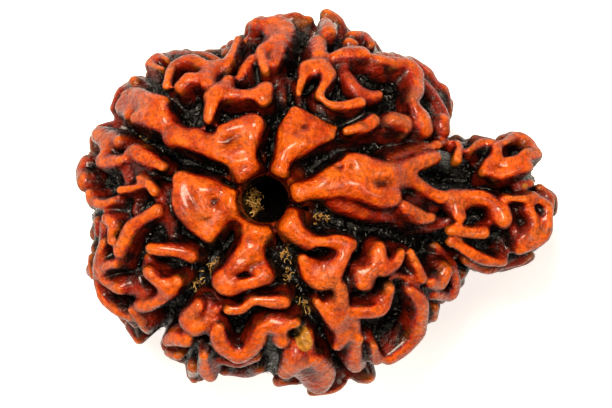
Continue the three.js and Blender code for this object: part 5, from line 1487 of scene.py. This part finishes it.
class Nodes:
    """Adds nodes to a tree and links them, so that a finish reads as a list of steps."""

    def __init__(self, tree: bpy.types.NodeTree) -> None:
        """Start on a tree."""
        self.tree = tree

    def add(self, kind: str, inputs: dict | None = None, **settings) -> bpy.types.Node:
        """Add one node.

        Args:
            kind: The node's type.
            inputs: What its sockets take, by name or number: a value, or a socket to link.
            **settings: Its other properties.

        Returns:
            The node.
        """
        node = self.tree.nodes.new(kind)
        for name, value in settings.items():
            setattr(node, name, value)
        self.feed(node, inputs or {})
        return node

    def feed(self, node: bpy.types.Node, inputs: dict) -> None:
        """Give a node its inputs.

        Args:
            node: The node.
            inputs: What its sockets take, by name or number: a value, or a socket to link.
        """
        for key, value in inputs.items():
            if isinstance(value, Socket):
                self.tree.links.new(value, node.inputs[key])
            else:
                node.inputs[key].default_value = value

    def group(self, tree: bpy.types.NodeTree, inputs: dict) -> Socket:
        """Place a node group and give its only output."""
        return self.add("ShaderNodeGroup", inputs, node_tree=tree).outputs[0]

    def math(self, operation: str, *values: float | Socket, clamp: bool = False) -> Socket:
        """Work out one sum of numbers."""
        inputs = dict(enumerate(values))
        return self.add("ShaderNodeMath", inputs, operation=operation, use_clamp=clamp).outputs[0]

    def product(self, first: Socket, *others: float | Socket) -> Socket:
        """Multiply two or more numbers."""
        for other in others:
            first = self.math("MULTIPLY", first, other)
        return first

    def fade(self, value: Socket, start: float, end: float, low: float = 0, high: float = 1) -> Socket:
        """Go from `low` at `start` to `high` at `end`, smoothly."""
        inputs = {"Value": value, "From Min": start, "From Max": end, "To Min": low, "To Max": high}
        return self.add("ShaderNodeMapRange", inputs, interpolation_type="SMOOTHSTEP").outputs[0]

    def mix(self, share: float | Socket, first: object, second: object, blend_type: str = "MIX") -> Socket:
        """Mix two colours."""
        first = (*first, 1) if isinstance(first, tuple) else first
        second = (*second, 1) if isinstance(second, tuple) else second
        settings = {"data_type": "RGBA", "blend_type": blend_type}
        return self.add("ShaderNodeMix", {0: share, 6: first, 7: second}, **settings).outputs[2]

    def ramp(self, value: Socket, stops: list[tuple[float, Colour]]) -> Socket:
        """Pick a colour by a value from 0 to 1."""
        node = self.add("ShaderNodeValToRGB", {"Fac": value})
        elements = node.color_ramp.elements
        elements[0].position, elements[0].color = stops[0][0], (*stops[0][1], 1)
        elements[1].position, elements[1].color = stops[-1][0], (*stops[-1][1], 1)
        for place, colour in stops[1:-1]:
            elements.new(place).color = (*colour, 1)
        return node.outputs["Color"]

    def noise(
        self, vector: Socket, scale: float | Socket, detail: float = 2, roughness: float = 0.5
    ) -> Socket:
        """Make a smooth random value, lumps `scale` to the millimetre."""
        inputs = {"Vector": vector, "Scale": scale, "Detail": detail, "Roughness": roughness}
        return self.add("ShaderNodeTexNoise", inputs).outputs["Fac"]

    def attribute(self, name: str) -> Socket:
        """Read a number that the mesh holds at each point."""
        return self.add("ShaderNodeAttribute", attribute_name=name).outputs["Fac"]

    def millimetres(self) -> Socket:
        """Give the place on the object, in millimetres."""
        place = self.add("ShaderNodeTexCoord").outputs["Object"]
        inputs = {0: place, 3: 1000.0}
        return self.add("ShaderNodeVectorMath", inputs, operation="SCALE").outputs[0]


def new_group(name: str, inputs: dict[str, object], outputs: dict[str, str]) -> tuple[Nodes, dict]:
    """Start a shader node group.

    Args:
        name: The group's name.
        inputs: Its inputs: a number, a colour or the word vector for each name.
        outputs: The socket type of each output.

    Returns:
        A writer for its nodes, and its input sockets by name.
    """
    tree = bpy.data.node_groups.new(name, "ShaderNodeTree")
    for label, value in inputs.items():
        kind = {str: "NodeSocketVector", tuple: "NodeSocketColor"}.get(type(value), "NodeSocketFloat")
        socket = tree.interface.new_socket(label, in_out="INPUT", socket_type=kind)
        if kind == "NodeSocketFloat":
            socket.default_value = value
        if kind == "NodeSocketColor":
            socket.default_value = (*value, 1)
    for label, kind in outputs.items():
        tree.interface.new_socket(label, in_out="OUTPUT", socket_type=kind)
    nodes = Nodes(tree)
    return nodes, dict(nodes.add("NodeGroupInput").outputs.items())


def uneven_tone_group() -> bpy.types.NodeTree:
    """Build the group that lets a colour wander in tone and speckles it.

    Returns:
        The group, from a place, a colour and amounts to a colour.
    """
    inputs = {
        "Place": "vector",
        "Colour": (0.5, 0.5, 0.5),
        "Deeper": (0.3, 0.1, 0.1),
        "Lumps per mm": 0.8,
        "Wander": 0.5,
        "Speckle": (0.1, 0.02, 0.01),
        "Speckles per mm": 6.0,
        "Speckled": 0.3,
    }
    nodes, given = new_group("uneven_tone", inputs, {"Colour": "NodeSocketColor"})
    lumps = nodes.noise(given["Place"], given["Lumps per mm"], 3)
    share = nodes.product(nodes.fade(lumps, 0.38, 0.66), given["Wander"])
    toned = nodes.mix(share, given["Colour"], given["Deeper"])
    specks = nodes.noise(given["Place"], given["Speckles per mm"], 2, 0.6)
    share = nodes.product(nodes.fade(specks, 0.56, 0.70), given["Speckled"])
    toned = nodes.mix(share, toned, given["Speckle"])
    nodes.add("NodeGroupOutput", {"Colour": toned})
    return nodes.tree


def fine_relief_group() -> bpy.types.NodeTree:
    """Build the group that gives a fine, uneven relief in millimetres.

    Returns:
        The group, from a place and the heights of its lumps and grain to a height.
    """
    inputs = {"Place": "vector", "Lumps": 0.03, "Lumps per mm": 2.0, "Grain": 0.01, "Grains per mm": 10.0}
    nodes, given = new_group("fine_relief", inputs, {"Height": "NodeSocketFloat"})
    lumps = nodes.noise(given["Place"], given["Lumps per mm"], 2)
    grain = nodes.noise(given["Place"], given["Grains per mm"], 2, 0.6)
    total = nodes.product(lumps, given["Lumps"])
    total = nodes.math("MULTIPLY_ADD", grain, given["Grain"], total)
    nodes.add("NodeGroupOutput", {"Height": total})
    return nodes.tree


@dataclass
class Effects:
    """The node groups that more than one finish uses."""

    uneven_tone: bpy.types.NodeTree = field(default_factory=uneven_tone_group)
    fine_relief: bpy.types.NodeTree = field(default_factory=fine_relief_group)


def start_material(name: str) -> tuple[bpy.types.Material, Nodes, bpy.types.Node]:
    """Start a material with a writer for its nodes.

    Args:
        name: The material's name.

    Returns:
        The material, the writer, and the material's Principled shader.
    """
    material = bpy.data.materials.new(name)
    material.use_nodes = True
    return material, Nodes(material.node_tree), material.node_tree.nodes["Principled BSDF"]


@dataclass
class Skin:
    """What the shell's colour, gloss and relief are all worked out from."""

    nodes: Nodes
    place: Socket
    mark: dict[str, Socket]
    on_shell: Socket
    patch: Socket
    gloss: Socket


@dataclass(frozen=True)
class ShellFinish:
    """Wood-hard shell: glossy orange crests, red-brown flanks and a dull black ground, with painted shade,
    light and glints.
    """

    crest: Colour = (0.55, 0.078, 0.001)
    shoulder: Colour = (0.28, 0.010, 0.001)
    flank: Colour = (0.07, 0.003, 0.001)
    foot: Colour = (0.018, 0.002, 0.001)
    ground: Colour = (0.0022, 0.0016, 0.0015)
    # Amber: a random lighter tone on crests, and the painted light on convex edges.
    amber: Colour = (0.62, 0.15, 0.008)
    ruddy: Colour = (0.25, 0.012, 0.002)
    # Pale: painted glints in the rough patches.
    pale: Colour = (0.50, 0.30, 0.25)
    ochre: Colour = (0.42, 0.17, 0.018)
    collar: Colour = (0.42, 0.040, 0.006)
    speckle: Colour = (0.07, 0.006, 0.003)
    roughness: float = 0.26
    smoothest: float = -0.08
    roughest: float = 0.14
    specular: float = 0.17
    coat_roughness: float = 0.18
    most_coat: float = 0.30
    crest_height: float = 2.2
    marks: str = "height crease open slope lying collar in_hole rough_patch chip"

    def material(self, effects: Effects) -> bpy.types.Material:
        """Build the shell's material.

        Args:
            effects: The shared node groups.

        Returns:
            The material.
        """
        material, nodes, shader = start_material("seed_shell")
        skin = self.read_skin(nodes)
        colour = self.spotted(skin, self.toned(skin, effects, self.layered(skin)))
        rough = (self.roughness + self.smoothest, self.roughness + self.roughest)
        rough = nodes.fade(nodes.noise(skin.place, 3.0, 3), 0.3, 0.7, *rough)
        coat = nodes.fade(skin.mark["lying"], 0.4, 0.95, 0.0, self.most_coat)
        finish = {
            # The colour is multiplied by painted shade and light.
            "Base Color": nodes.mix(1.0, colour, self.shade(skin), "MULTIPLY"),
            "Roughness": nodes.math("MULTIPLY_ADD", skin.patch, 0.15, rough),
            "Coat Weight": nodes.product(skin.gloss, coat),
            "Coat Roughness": self.coat_roughness,
            "Specular IOR Level": self.specular,
            "Normal": self.relief(skin, effects),
        }
        nodes.feed(shader, finish)
        return material

    def read_skin(self, nodes: Nodes) -> Skin:
        """Read the seed's marks, and find where it is shell, rough or glossy.

        Args:
            nodes: The material's writer.

        Returns:
            The sockets that the rest of the finish is made from.
        """
        place = nodes.millimetres()
        mark = {name: nodes.attribute(name) for name in self.marks.split()}
        on_shell = nodes.fade(mark["height"], 0.3, 0.75)
        spread = nodes.fade(nodes.noise(place, 0.35, 2), 0.60, 0.72)
        patch = nodes.fade(nodes.math("ADD", mark["rough_patch"], spread), 0.3, 0.9)
        gloss = nodes.product(on_shell, nodes.math("SUBTRACT", 1.0, mark["in_hole"]))
        return Skin(nodes, place, mark, on_shell, nodes.product(patch, on_shell), gloss)

    def layered(self, skin: Skin) -> Socket:
        """Colour the skin by its height over the ground, with painted shade in creases, on walls and on
        sides that face neither up nor down.

        Args:
            skin: What the skin is like at each point.

        Returns:
            The colour.
        """
        nodes, mark = skin.nodes, skin.mark
        uneven = nodes.math("MULTIPLY_ADD", nodes.noise(skin.place, 1.1, 3), 1.1, -0.6)
        level = nodes.math("ADD", mark["height"], uneven)
        # Painted shade: creases lower the level, so they take the darker colours.
        level = nodes.math("MULTIPLY_ADD", mark["crease"], -1.6, level)
        # Painted shade: walls and sides that face neither up nor down take darker colours; on walls this is
        # partly the shell's own darker flanks.
        on_top = nodes.fade(mark["slope"], 0.25, 1.0, 0.3, 1.0)
        level = nodes.product(level, on_top, nodes.fade(mark["lying"], 0.1, 1.0, 0.72, 1.05))
        stops = [
            (0.16, self.ground),
            (0.23, self.foot),
            (0.33, self.flank),
            (0.50, self.shoulder),
            (0.77, self.crest),
        ]
        return nodes.ramp(nodes.math("DIVIDE", level, self.crest_height, clamp=True), stops)

    def toned(self, skin: Skin, effects: Effects, colour: Socket) -> Socket:
        """Let the shell's colour wander towards a redder one, and speckle it.

        Args:
            skin: What the skin is like at each point.
            effects: The shared node groups.
            colour: The colour so far.

        Returns:
            The colour.
        """
        inputs = {
            "Place": skin.place,
            "Colour": colour,
            "Deeper": (*self.ruddy, 1),
            "Lumps per mm": 0.9,
            "Wander": skin.nodes.product(skin.on_shell, 0.7),
            "Speckle": (*self.speckle, 1),
            "Speckles per mm": 5.5,
            "Speckled": skin.nodes.product(skin.on_shell, 0.5),
        }
        return skin.nodes.group(effects.uneven_tone, inputs)

    def spotted(self, skin: Skin, colour: Socket) -> Socket:
        """Lay on what differs in places: amber crests, painted light on convex edges, chips, painted
        glints, collar and painted shade in the hole.

        Args:
            skin: What the skin is like at each point.
            colour: The colour so far.

        Returns:
            The colour.
        """
        nodes, place, mark = skin.nodes, skin.place, skin.mark
        amber = nodes.product(nodes.fade(nodes.noise(place, 0.7, 2), 0.5, 0.7), 0.3)
        amber = nodes.product(amber, nodes.fade(mark["height"], 1.2, 1.8))
        colour = nodes.mix(amber, colour, self.amber)
        # Painted light: convex edges and narrow crests are lifted towards amber.
        edge = nodes.product(nodes.fade(mark["crease"], -0.12, -0.26), 0.35, skin.on_shell)
        colour = nodes.mix(edge, colour, self.amber)
        colour = nodes.mix(nodes.fade(mark["chip"], 0.45, 0.6), colour, self.ochre)
        # Painted glints: pale specks in the rough patches stand in for glints of light.
        glint_flecks = nodes.fade(nodes.noise(place, 11, 3, 0.7), 0.54, 0.66)
        colour = nodes.mix(nodes.product(glint_flecks, skin.patch, 0.4), colour, self.pale)
        collar = nodes.mix(nodes.fade(mark["crease"], 0.12, 0.24), self.collar, self.ground)
        low = nodes.math("SUBTRACT", 1.0, nodes.fade(mark["height"], 0.5, 0.9))
        colour = nodes.mix(nodes.product(mark["collar"], low), colour, collar)
        # Painted shade: the hole's wall is painted the ground's near black.
        return nodes.mix(mark["in_hole"], colour, self.ground)

    def shade(self, skin: Skin) -> Socket:
        """Paint shade into creases, on steep sides and in narrow places, and light onto open places.

        Args:
            skin: What the skin is like at each point.

        Returns:
            A grey of painted shade and light, with a random tone, to multiply the colour by.
        """
        nodes, mark = skin.nodes, skin.mark
        # Painted shade and light: creases, steep sides and enclosed places darker, open places lighter; the
        # noise is a random tone.
        shade = nodes.product(
            nodes.fade(mark["crease"], 0.03, 0.20, 1.0, 0.15),
            nodes.fade(mark["lying"], 0.0, 0.9, 0.42, 1.0),
            nodes.fade(nodes.noise(skin.place, 3.4, 3, 0.6), 0.36, 0.62, 0.68, 1.08),
            nodes.fade(mark["open"], -0.15, 0.16, 0.45, 1.15),
        )
        # The collar's shelves are kept out of most of the painted shade.
        shade = nodes.math("MAXIMUM", shade, nodes.product(mark["collar"], 0.7))
        return nodes.add("ShaderNodeCombineColor", {0: shade, 1: shade, 2: shade}).outputs[0]

    def relief(self, skin: Skin, effects: Effects) -> Socket:
        """Give the shell its fine lumps and grain, and the ground its fibrous look.

        Args:
            skin: What the skin is like at each point.
            effects: The shared node groups.

        Returns:
            The normal.
        """
        nodes = skin.nodes
        inputs = {
            "Place": skin.place,
            "Lumps": 0.18,
            "Lumps per mm": 1.7,
            "Grain": 0.14,
            "Grains per mm": 4.2,
        }
        specks = nodes.product(nodes.noise(skin.place, 6, 3, 0.7), skin.patch, 0.25)
        dull = nodes.math("SUBTRACT", 1.0, skin.gloss)
        fibrous = nodes.product(nodes.noise(skin.place, 4, 3, 0.6), dull, 0.08)
        bumps = nodes.math("ADD", nodes.group(effects.fine_relief, inputs), specks)
        bumps = nodes.math("ADD", bumps, fibrous)
        return nodes.add("ShaderNodeBump", {"Height": bumps, "Distance": MM, "Strength": 1.0}).outputs[0]


@dataclass(frozen=True)
class FibreFinish:
    """Short fibres: a colour that differs from one fibre to the next, with a gloss."""

    name: str
    dark: Colour
    middle: Colour
    light: Colour
    middle_from: float
    light_from: float
    roughness: float
    specular: float = 0.5

    def material(self, effects: Effects) -> bpy.types.Material:
        """Build the fibres' material.

        Args:
            effects: The shared node groups.

        Returns:
            The material.
        """
        material, nodes, shader = start_material(self.name)
        stops = [(0.0, self.dark), (self.middle_from, self.middle), (self.light_from, self.light)]
        inputs = {
            "Place": nodes.millimetres(),
            "Colour": nodes.ramp(nodes.attribute("tone"), stops),
            "Deeper": (*self.dark, 1),
            "Speckle": (*self.dark, 1),
            "Lumps per mm": 2.0,
            "Wander": 0.5,
        }
        finish = {
            "Base Color": nodes.group(effects.uneven_tone, inputs),
            "Roughness": self.roughness,
            "Specular IOR Level": self.specular,
        }
        nodes.feed(shader, finish)
        return material


DARK_FIBRE = FibreFinish(
    name="dark_fibre",
    dark=(0.002, 0.0016, 0.0015),
    middle=(0.006, 0.005, 0.005),
    # The few fibres of this pale colour stand in for glints: painted glints on the dark ground.
    light=(0.42, 0.39, 0.38),
    middle_from=0.55,
    light_from=0.97,
    roughness=0.25,
    specular=0.7,
)

STRAW_FIBRE = FibreFinish(
    name="straw_fibre",
    dark=(0.14, 0.05, 0.006),
    middle=(0.72, 0.34, 0.06),
    light=(0.98, 0.62, 0.18),
    middle_from=0.35,
    light_from=1.0,
    roughness=0.45,
)


@dataclass(frozen=True)
class FloorFinish:
    """A plain pale studio floor, lit a little from below."""

    colour: Colour = (0.93, 0.93, 0.93)
    glow: float = 0.6

    def material(self, effects: Effects) -> bpy.types.Material:
        """Build the floor's material.

        Args:
            effects: The shared node groups.

        Returns:
            The material.
        """
        material, nodes, shader = start_material("pale_floor")
        inputs = {
            "Place": nodes.millimetres(),
            "Colour": (*self.colour, 1),
            "Deeper": (*(0.98 * part for part in self.colour), 1),
            "Speckled": 0.0,
            "Lumps per mm": 0.02,
        }
        finish = {
            "Base Color": nodes.group(effects.uneven_tone, inputs),
            "Roughness": 0.9,
            "Specular IOR Level": 0.1,
            "Emission Color": (1, 1, 1, 1),
            "Emission Strength": self.glow,
        }
        nodes.feed(shader, finish)
        return material


@dataclass(frozen=True)
class FibreCover:
    """Short curled fibres grown over the part of the seed that one of its marks names."""

    name: str
    mark: str
    per_square_mm: float
    length: float
    radius: float
    lift: float
    tilt: float
    seed: int
    bends: tuple[float, ...] = (50, 110, 180, 270)
    sides: int = 3
    spans: int = 4
    least_size: float = 0.6
    most_size: float = 1.5
    thick_end: float = 1.15
    taper: float = 0.7

    def tree(self) -> bpy.types.NodeTree:
        """Build the tree that grows the fibres on a mesh.

        Returns:
            The tree, with named inputs for its sizes.
        """
        tree = bpy.data.node_groups.new(self.name + "_growth", "GeometryNodeTree")
        socket = tree.interface.new_socket
        socket("Geometry", in_out="OUTPUT", socket_type="NodeSocketGeometry")
        socket("Geometry", in_out="INPUT", socket_type="NodeSocketGeometry")
        for label, value in self.sizes().items():
            kind = "NodeSocketInt" if isinstance(value, int) else "NodeSocketFloat"
            socket(label, in_out="INPUT", socket_type=kind).default_value = value
        socket("Material", in_out="INPUT", socket_type="NodeSocketMaterial")
        nodes = Nodes(tree)
        given = nodes.add("NodeGroupInput").outputs
        density = nodes.add("GeometryNodeInputNamedAttribute", {"Name": self.mark}, data_type="FLOAT")
        density = nodes.math("MULTIPLY", density.outputs[0], given["Density"])
        scattered = nodes.add(
            "GeometryNodeDistributePointsOnFaces",
            {"Mesh": given["Geometry"], "Density": density, "Seed": given["Seed"]},
            distribute_method="RANDOM",
        )
        prototypes = nodes.add("GeometryNodeGeometryToInstance")
        for bend in self.bends:
            nodes.tree.links.new(self.prototype(nodes, given, bend), prototypes.inputs[0])
        spin = self.random(nodes, given, 1, "FLOAT_VECTOR")
        nodes.feed(spin, {"Min": (-self.tilt, -self.tilt, 0), "Max": (self.tilt, self.tilt, math.tau)})
        turn = nodes.add("FunctionNodeEulerToRotation", {0: spin.outputs[0]})
        turned = nodes.add(
            "FunctionNodeRotateRotation",
            {"Rotation": scattered.outputs["Rotation"], "Rotate By": turn.outputs[0]},
            rotation_space="LOCAL",
        )
        size = self.random(nodes, given, 2, "FLOAT")
        nodes.feed(size, {2: self.least_size, 3: self.most_size})
        pick = self.random(nodes, given, 3, "INT")
        nodes.feed(pick, {4: 0, 5: len(self.bends) - 1})
        rise = self.random(nodes, given, 4, "FLOAT")
        nodes.tree.links.new(given["Lift"], rise.inputs[3])
        up = nodes.add(
            "ShaderNodeVectorMath",
            {0: scattered.outputs["Normal"], 3: rise.outputs[1]},
            operation="SCALE",
        )
        lifted = nodes.add(
            "GeometryNodeSetPosition",
            {"Geometry": scattered.outputs["Points"], "Offset": up.outputs[0]},
        )
        placed = nodes.add(
            "GeometryNodeInstanceOnPoints",
            {
                "Points": lifted.outputs[0],
                "Instance": prototypes.outputs[0],
                "Pick Instance": True,
                "Instance Index": pick.outputs[2],
                "Rotation": turned.outputs[0],
                "Scale": size.outputs[1],
            },
        )
        tone = self.random(nodes, given, 5, "FLOAT")
        toned = nodes.add(
            "GeometryNodeStoreNamedAttribute",
            {"Geometry": placed.outputs[0], "Name": "tone", "Value": tone.outputs[1]},
            data_type="FLOAT",
            domain="INSTANCE",
        )
        real = nodes.add("GeometryNodeRealizeInstances", {"Geometry": toned.outputs[0]})
        finished = nodes.add(
            "GeometryNodeSetMaterial",
            {"Geometry": real.outputs[0], "Material": given["Material"]},
        )
        nodes.add("NodeGroupOutput", {0: finished.outputs[0]})
        return tree

    def sizes(self) -> dict[str, float | int]:
        """Give the tree's inputs, in metres."""
        return {
            "Density": self.per_square_mm / MM**2,
            "Length": self.length * MM,
            "Radius": self.radius * MM,
            "Lift": self.lift * MM,
            "Seed": self.seed,
        }

    def random(self, nodes: Nodes, given: object, draw: int, kind: str) -> bpy.types.Node:
        """Add one random draw, apart from the others by its number."""
        seed = nodes.math("ADD", given["Seed"], draw)
        node = nodes.add("FunctionNodeRandomValue", data_type=kind)
        nodes.tree.links.new(seed, node.inputs["Seed"])
        return node

    def prototype(self, nodes: Nodes, given: object, bend: float) -> Socket:
        """Add a fibre of the given length, bent into an arc.

        Args:
            nodes: The tree's writer.
            given: The tree's inputs.
            bend: How far it turns from end to end, in degrees.

        Returns:
            The fibre's mesh, centred on the arc's middle.
        """
        turn = math.radians(bend)
        reach = nodes.math("DIVIDE", given["Length"], turn)
        arc = nodes.add(
            "GeometryNodeCurveArc",
            {"Resolution": self.spans + 1, "Radius": reach, "Start Angle": -turn / 2, "Sweep Angle": turn},
            mode="RADIUS",
        )
        share = nodes.add("GeometryNodeSplineParameter").outputs["Factor"]
        taper = nodes.math("SUBTRACT", self.thick_end, nodes.product(share, self.taper))
        thick = nodes.add("GeometryNodeSetCurveRadius", {"Curve": arc.outputs[0], "Radius": taper})
        ring = nodes.add(
            "GeometryNodeCurvePrimitiveCircle",
            {"Resolution": self.sides, "Radius": given["Radius"]},
        )
        tube = nodes.add(
            "GeometryNodeCurveToMesh",
            {"Curve": thick.outputs[0], "Profile Curve": ring.outputs[0], "Fill Caps": True},
        )
        back = nodes.add("ShaderNodeCombineXYZ", {"X": nodes.product(reach, -1.0)})
        moved = nodes.add(
            "GeometryNodeTransform",
            {"Geometry": tube.outputs[0], "Translation": back.outputs[0]},
        )
        return moved.outputs[0]

    def grow(self, host: bpy.types.Object, material: bpy.types.Material) -> bpy.types.Object:
        """Grow the fibres on a mesh and keep them as a plain mesh.

        Args:
            host: The object that they grow on.
            material: Their finish.

        Returns:
            The fibres' object.
        """
        grown = bpy.data.objects.new(self.name, host.data)
        bpy.context.scene.collection.objects.link(grown)
        modifier = grown.modifiers.new("growth", "NODES")
        modifier.node_group = self.tree()
        wanted = {**self.sizes(), "Material": material}
        for item in modifier.node_group.interface.items_tree:
            if item.in_out == "INPUT" and item.name in wanted:
                modifier[item.identifier] = wanted[item.name]
        shown = grown.evaluated_get(bpy.context.evaluated_depsgraph_get())
        plain = bpy.data.meshes.new_from_object(shown)
        grown.modifiers.remove(modifier)
        grown.data = plain
        plain.name = self.name
        plain.shade_smooth()
        return grown


COVERS = [
    (FibreCover("ground_fibres", "fibre", 10.0, 0.2, 0.015, 0.08, 0.9, 5), DARK_FIBRE),
    (FibreCover("straw_fibres", "straw", 50.0, 0.4, 0.02, 0.15, 0.8, 6), STRAW_FIBRE),
    (FibreCover("hole_fibres", "hole_straw", 20.0, 0.5, 0.022, 0.35, 1.2, 7), STRAW_FIBRE),
]


@dataclass(frozen=True)
class Lamp:
    """A round soft light, by its place round the seed and its size, in metres."""

    name: str
    azimuth: float
    elevation: float
    distance: float
    side: float
    power: float
    colour: Colour = (1.0, 0.87, 0.68)

    def hang(self, target: np.ndarray) -> bpy.types.Object:
        """Put up the light, turned to the seed."""
        data = bpy.data.lights.new(self.name, "AREA")
        data.shape = "DISK"
        data.size = self.side
        data.energy = self.power
        data.color = self.colour
        lamp = bpy.data.objects.new(self.name, data)
        turn, up = math.radians(self.azimuth), math.radians(self.elevation)
        away = Vector((math.cos(turn) * math.cos(up), math.sin(turn) * math.cos(up), math.sin(up)))
        lamp.location = Vector(target) + self.distance * away
        lamp.rotation_euler = away.to_track_quat("Z", "Y").to_euler()
        bpy.context.scene.collection.objects.link(lamp)
        return lamp


@dataclass(frozen=True)
class Studio:
    """The pale floor, the soft lights and the camera straight above."""

    picture_centre: Point = (2.5, -0.25)
    picture_width: float = 38.25
    camera_distance: float = 0.6
    floor_side: float = 1.2
    surround: float = 0.05
    lamps: tuple[Lamp, ...] = (
        Lamp("key_light", 115, 72, 0.55, 0.18, 4.4),
        Lamp("left_light", 200, 60, 0.60, 0.24, 1.4),
        Lamp("right_light", -10, 60, 0.60, 0.24, 1.2),
    )

    def build(self, piece: SeedPiece, effects: Effects) -> None:
        """Set up the floor, the lights and the camera.

        Args:
            piece: The seed, which the camera is set over.
            effects: The shared node groups.
        """
        self.lay_floor(effects)
        aim = piece.in_frame(*self.picture_centre, 0)
        for lamp in self.lamps:
            lamp.hang(aim)
        world = bpy.data.worlds.new("surround")
        world.use_nodes = True
        world.node_tree.nodes["Background"].inputs["Color"].default_value = (1, 1, 1, 1)
        world.node_tree.nodes["Background"].inputs["Strength"].default_value = self.surround
        bpy.context.scene.world = world
        camera = bpy.data.cameras.new("camera")
        camera.sensor_width = 36
        camera.lens = camera.sensor_width * self.camera_distance / (self.picture_width * MM)
        camera.clip_start = 0.01
        holder = bpy.data.objects.new("camera", camera)
        holder.location = Vector(aim) + Vector((0, 0, self.camera_distance))
        bpy.context.scene.collection.objects.link(holder)
        bpy.context.scene.camera = holder
        view = bpy.context.scene.view_settings
        view.view_transform = "Standard"
        view.look = "None"

    def lay_floor(self, effects: Effects) -> bpy.types.Object:
        """Lay the floor just under the seed."""
        half = self.floor_side / 2
        corners = [(-half, -half, 0), (half, -half, 0), (half, half, 0), (-half, half, 0)]
        mesh = bpy.data.meshes.new("floor")
        mesh.from_pydata(corners, [], [(0, 1, 2, 3)])
        mesh.materials.append(FloorFinish().material(effects))
        floor = bpy.data.objects.new("floor", mesh)
        bpy.context.scene.collection.objects.link(floor)
        return floor


def main() -> None:
    """Build the seed, its fibres and the studio round it, and report each piece."""
    logging.basicConfig(level=logging.INFO, format="%(name)s: %(message)s")
    effects = Effects()
    piece = SeedMesh().build()
    seed = piece.seed
    seed.data.materials.append(ShellFinish().material(effects))
    pieces = [seed]
    for cover, finish in COVERS:
        pieces.append(cover.grow(seed, finish.material(effects)))
    for made in pieces:
        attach(made, BODY_NAME)
        LOG.info("%s has %d faces", made.name, len(made.data.polygons))
    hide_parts(NODE)
    Studio().build(piece, effects)


if __name__ == "__main__":
    main()
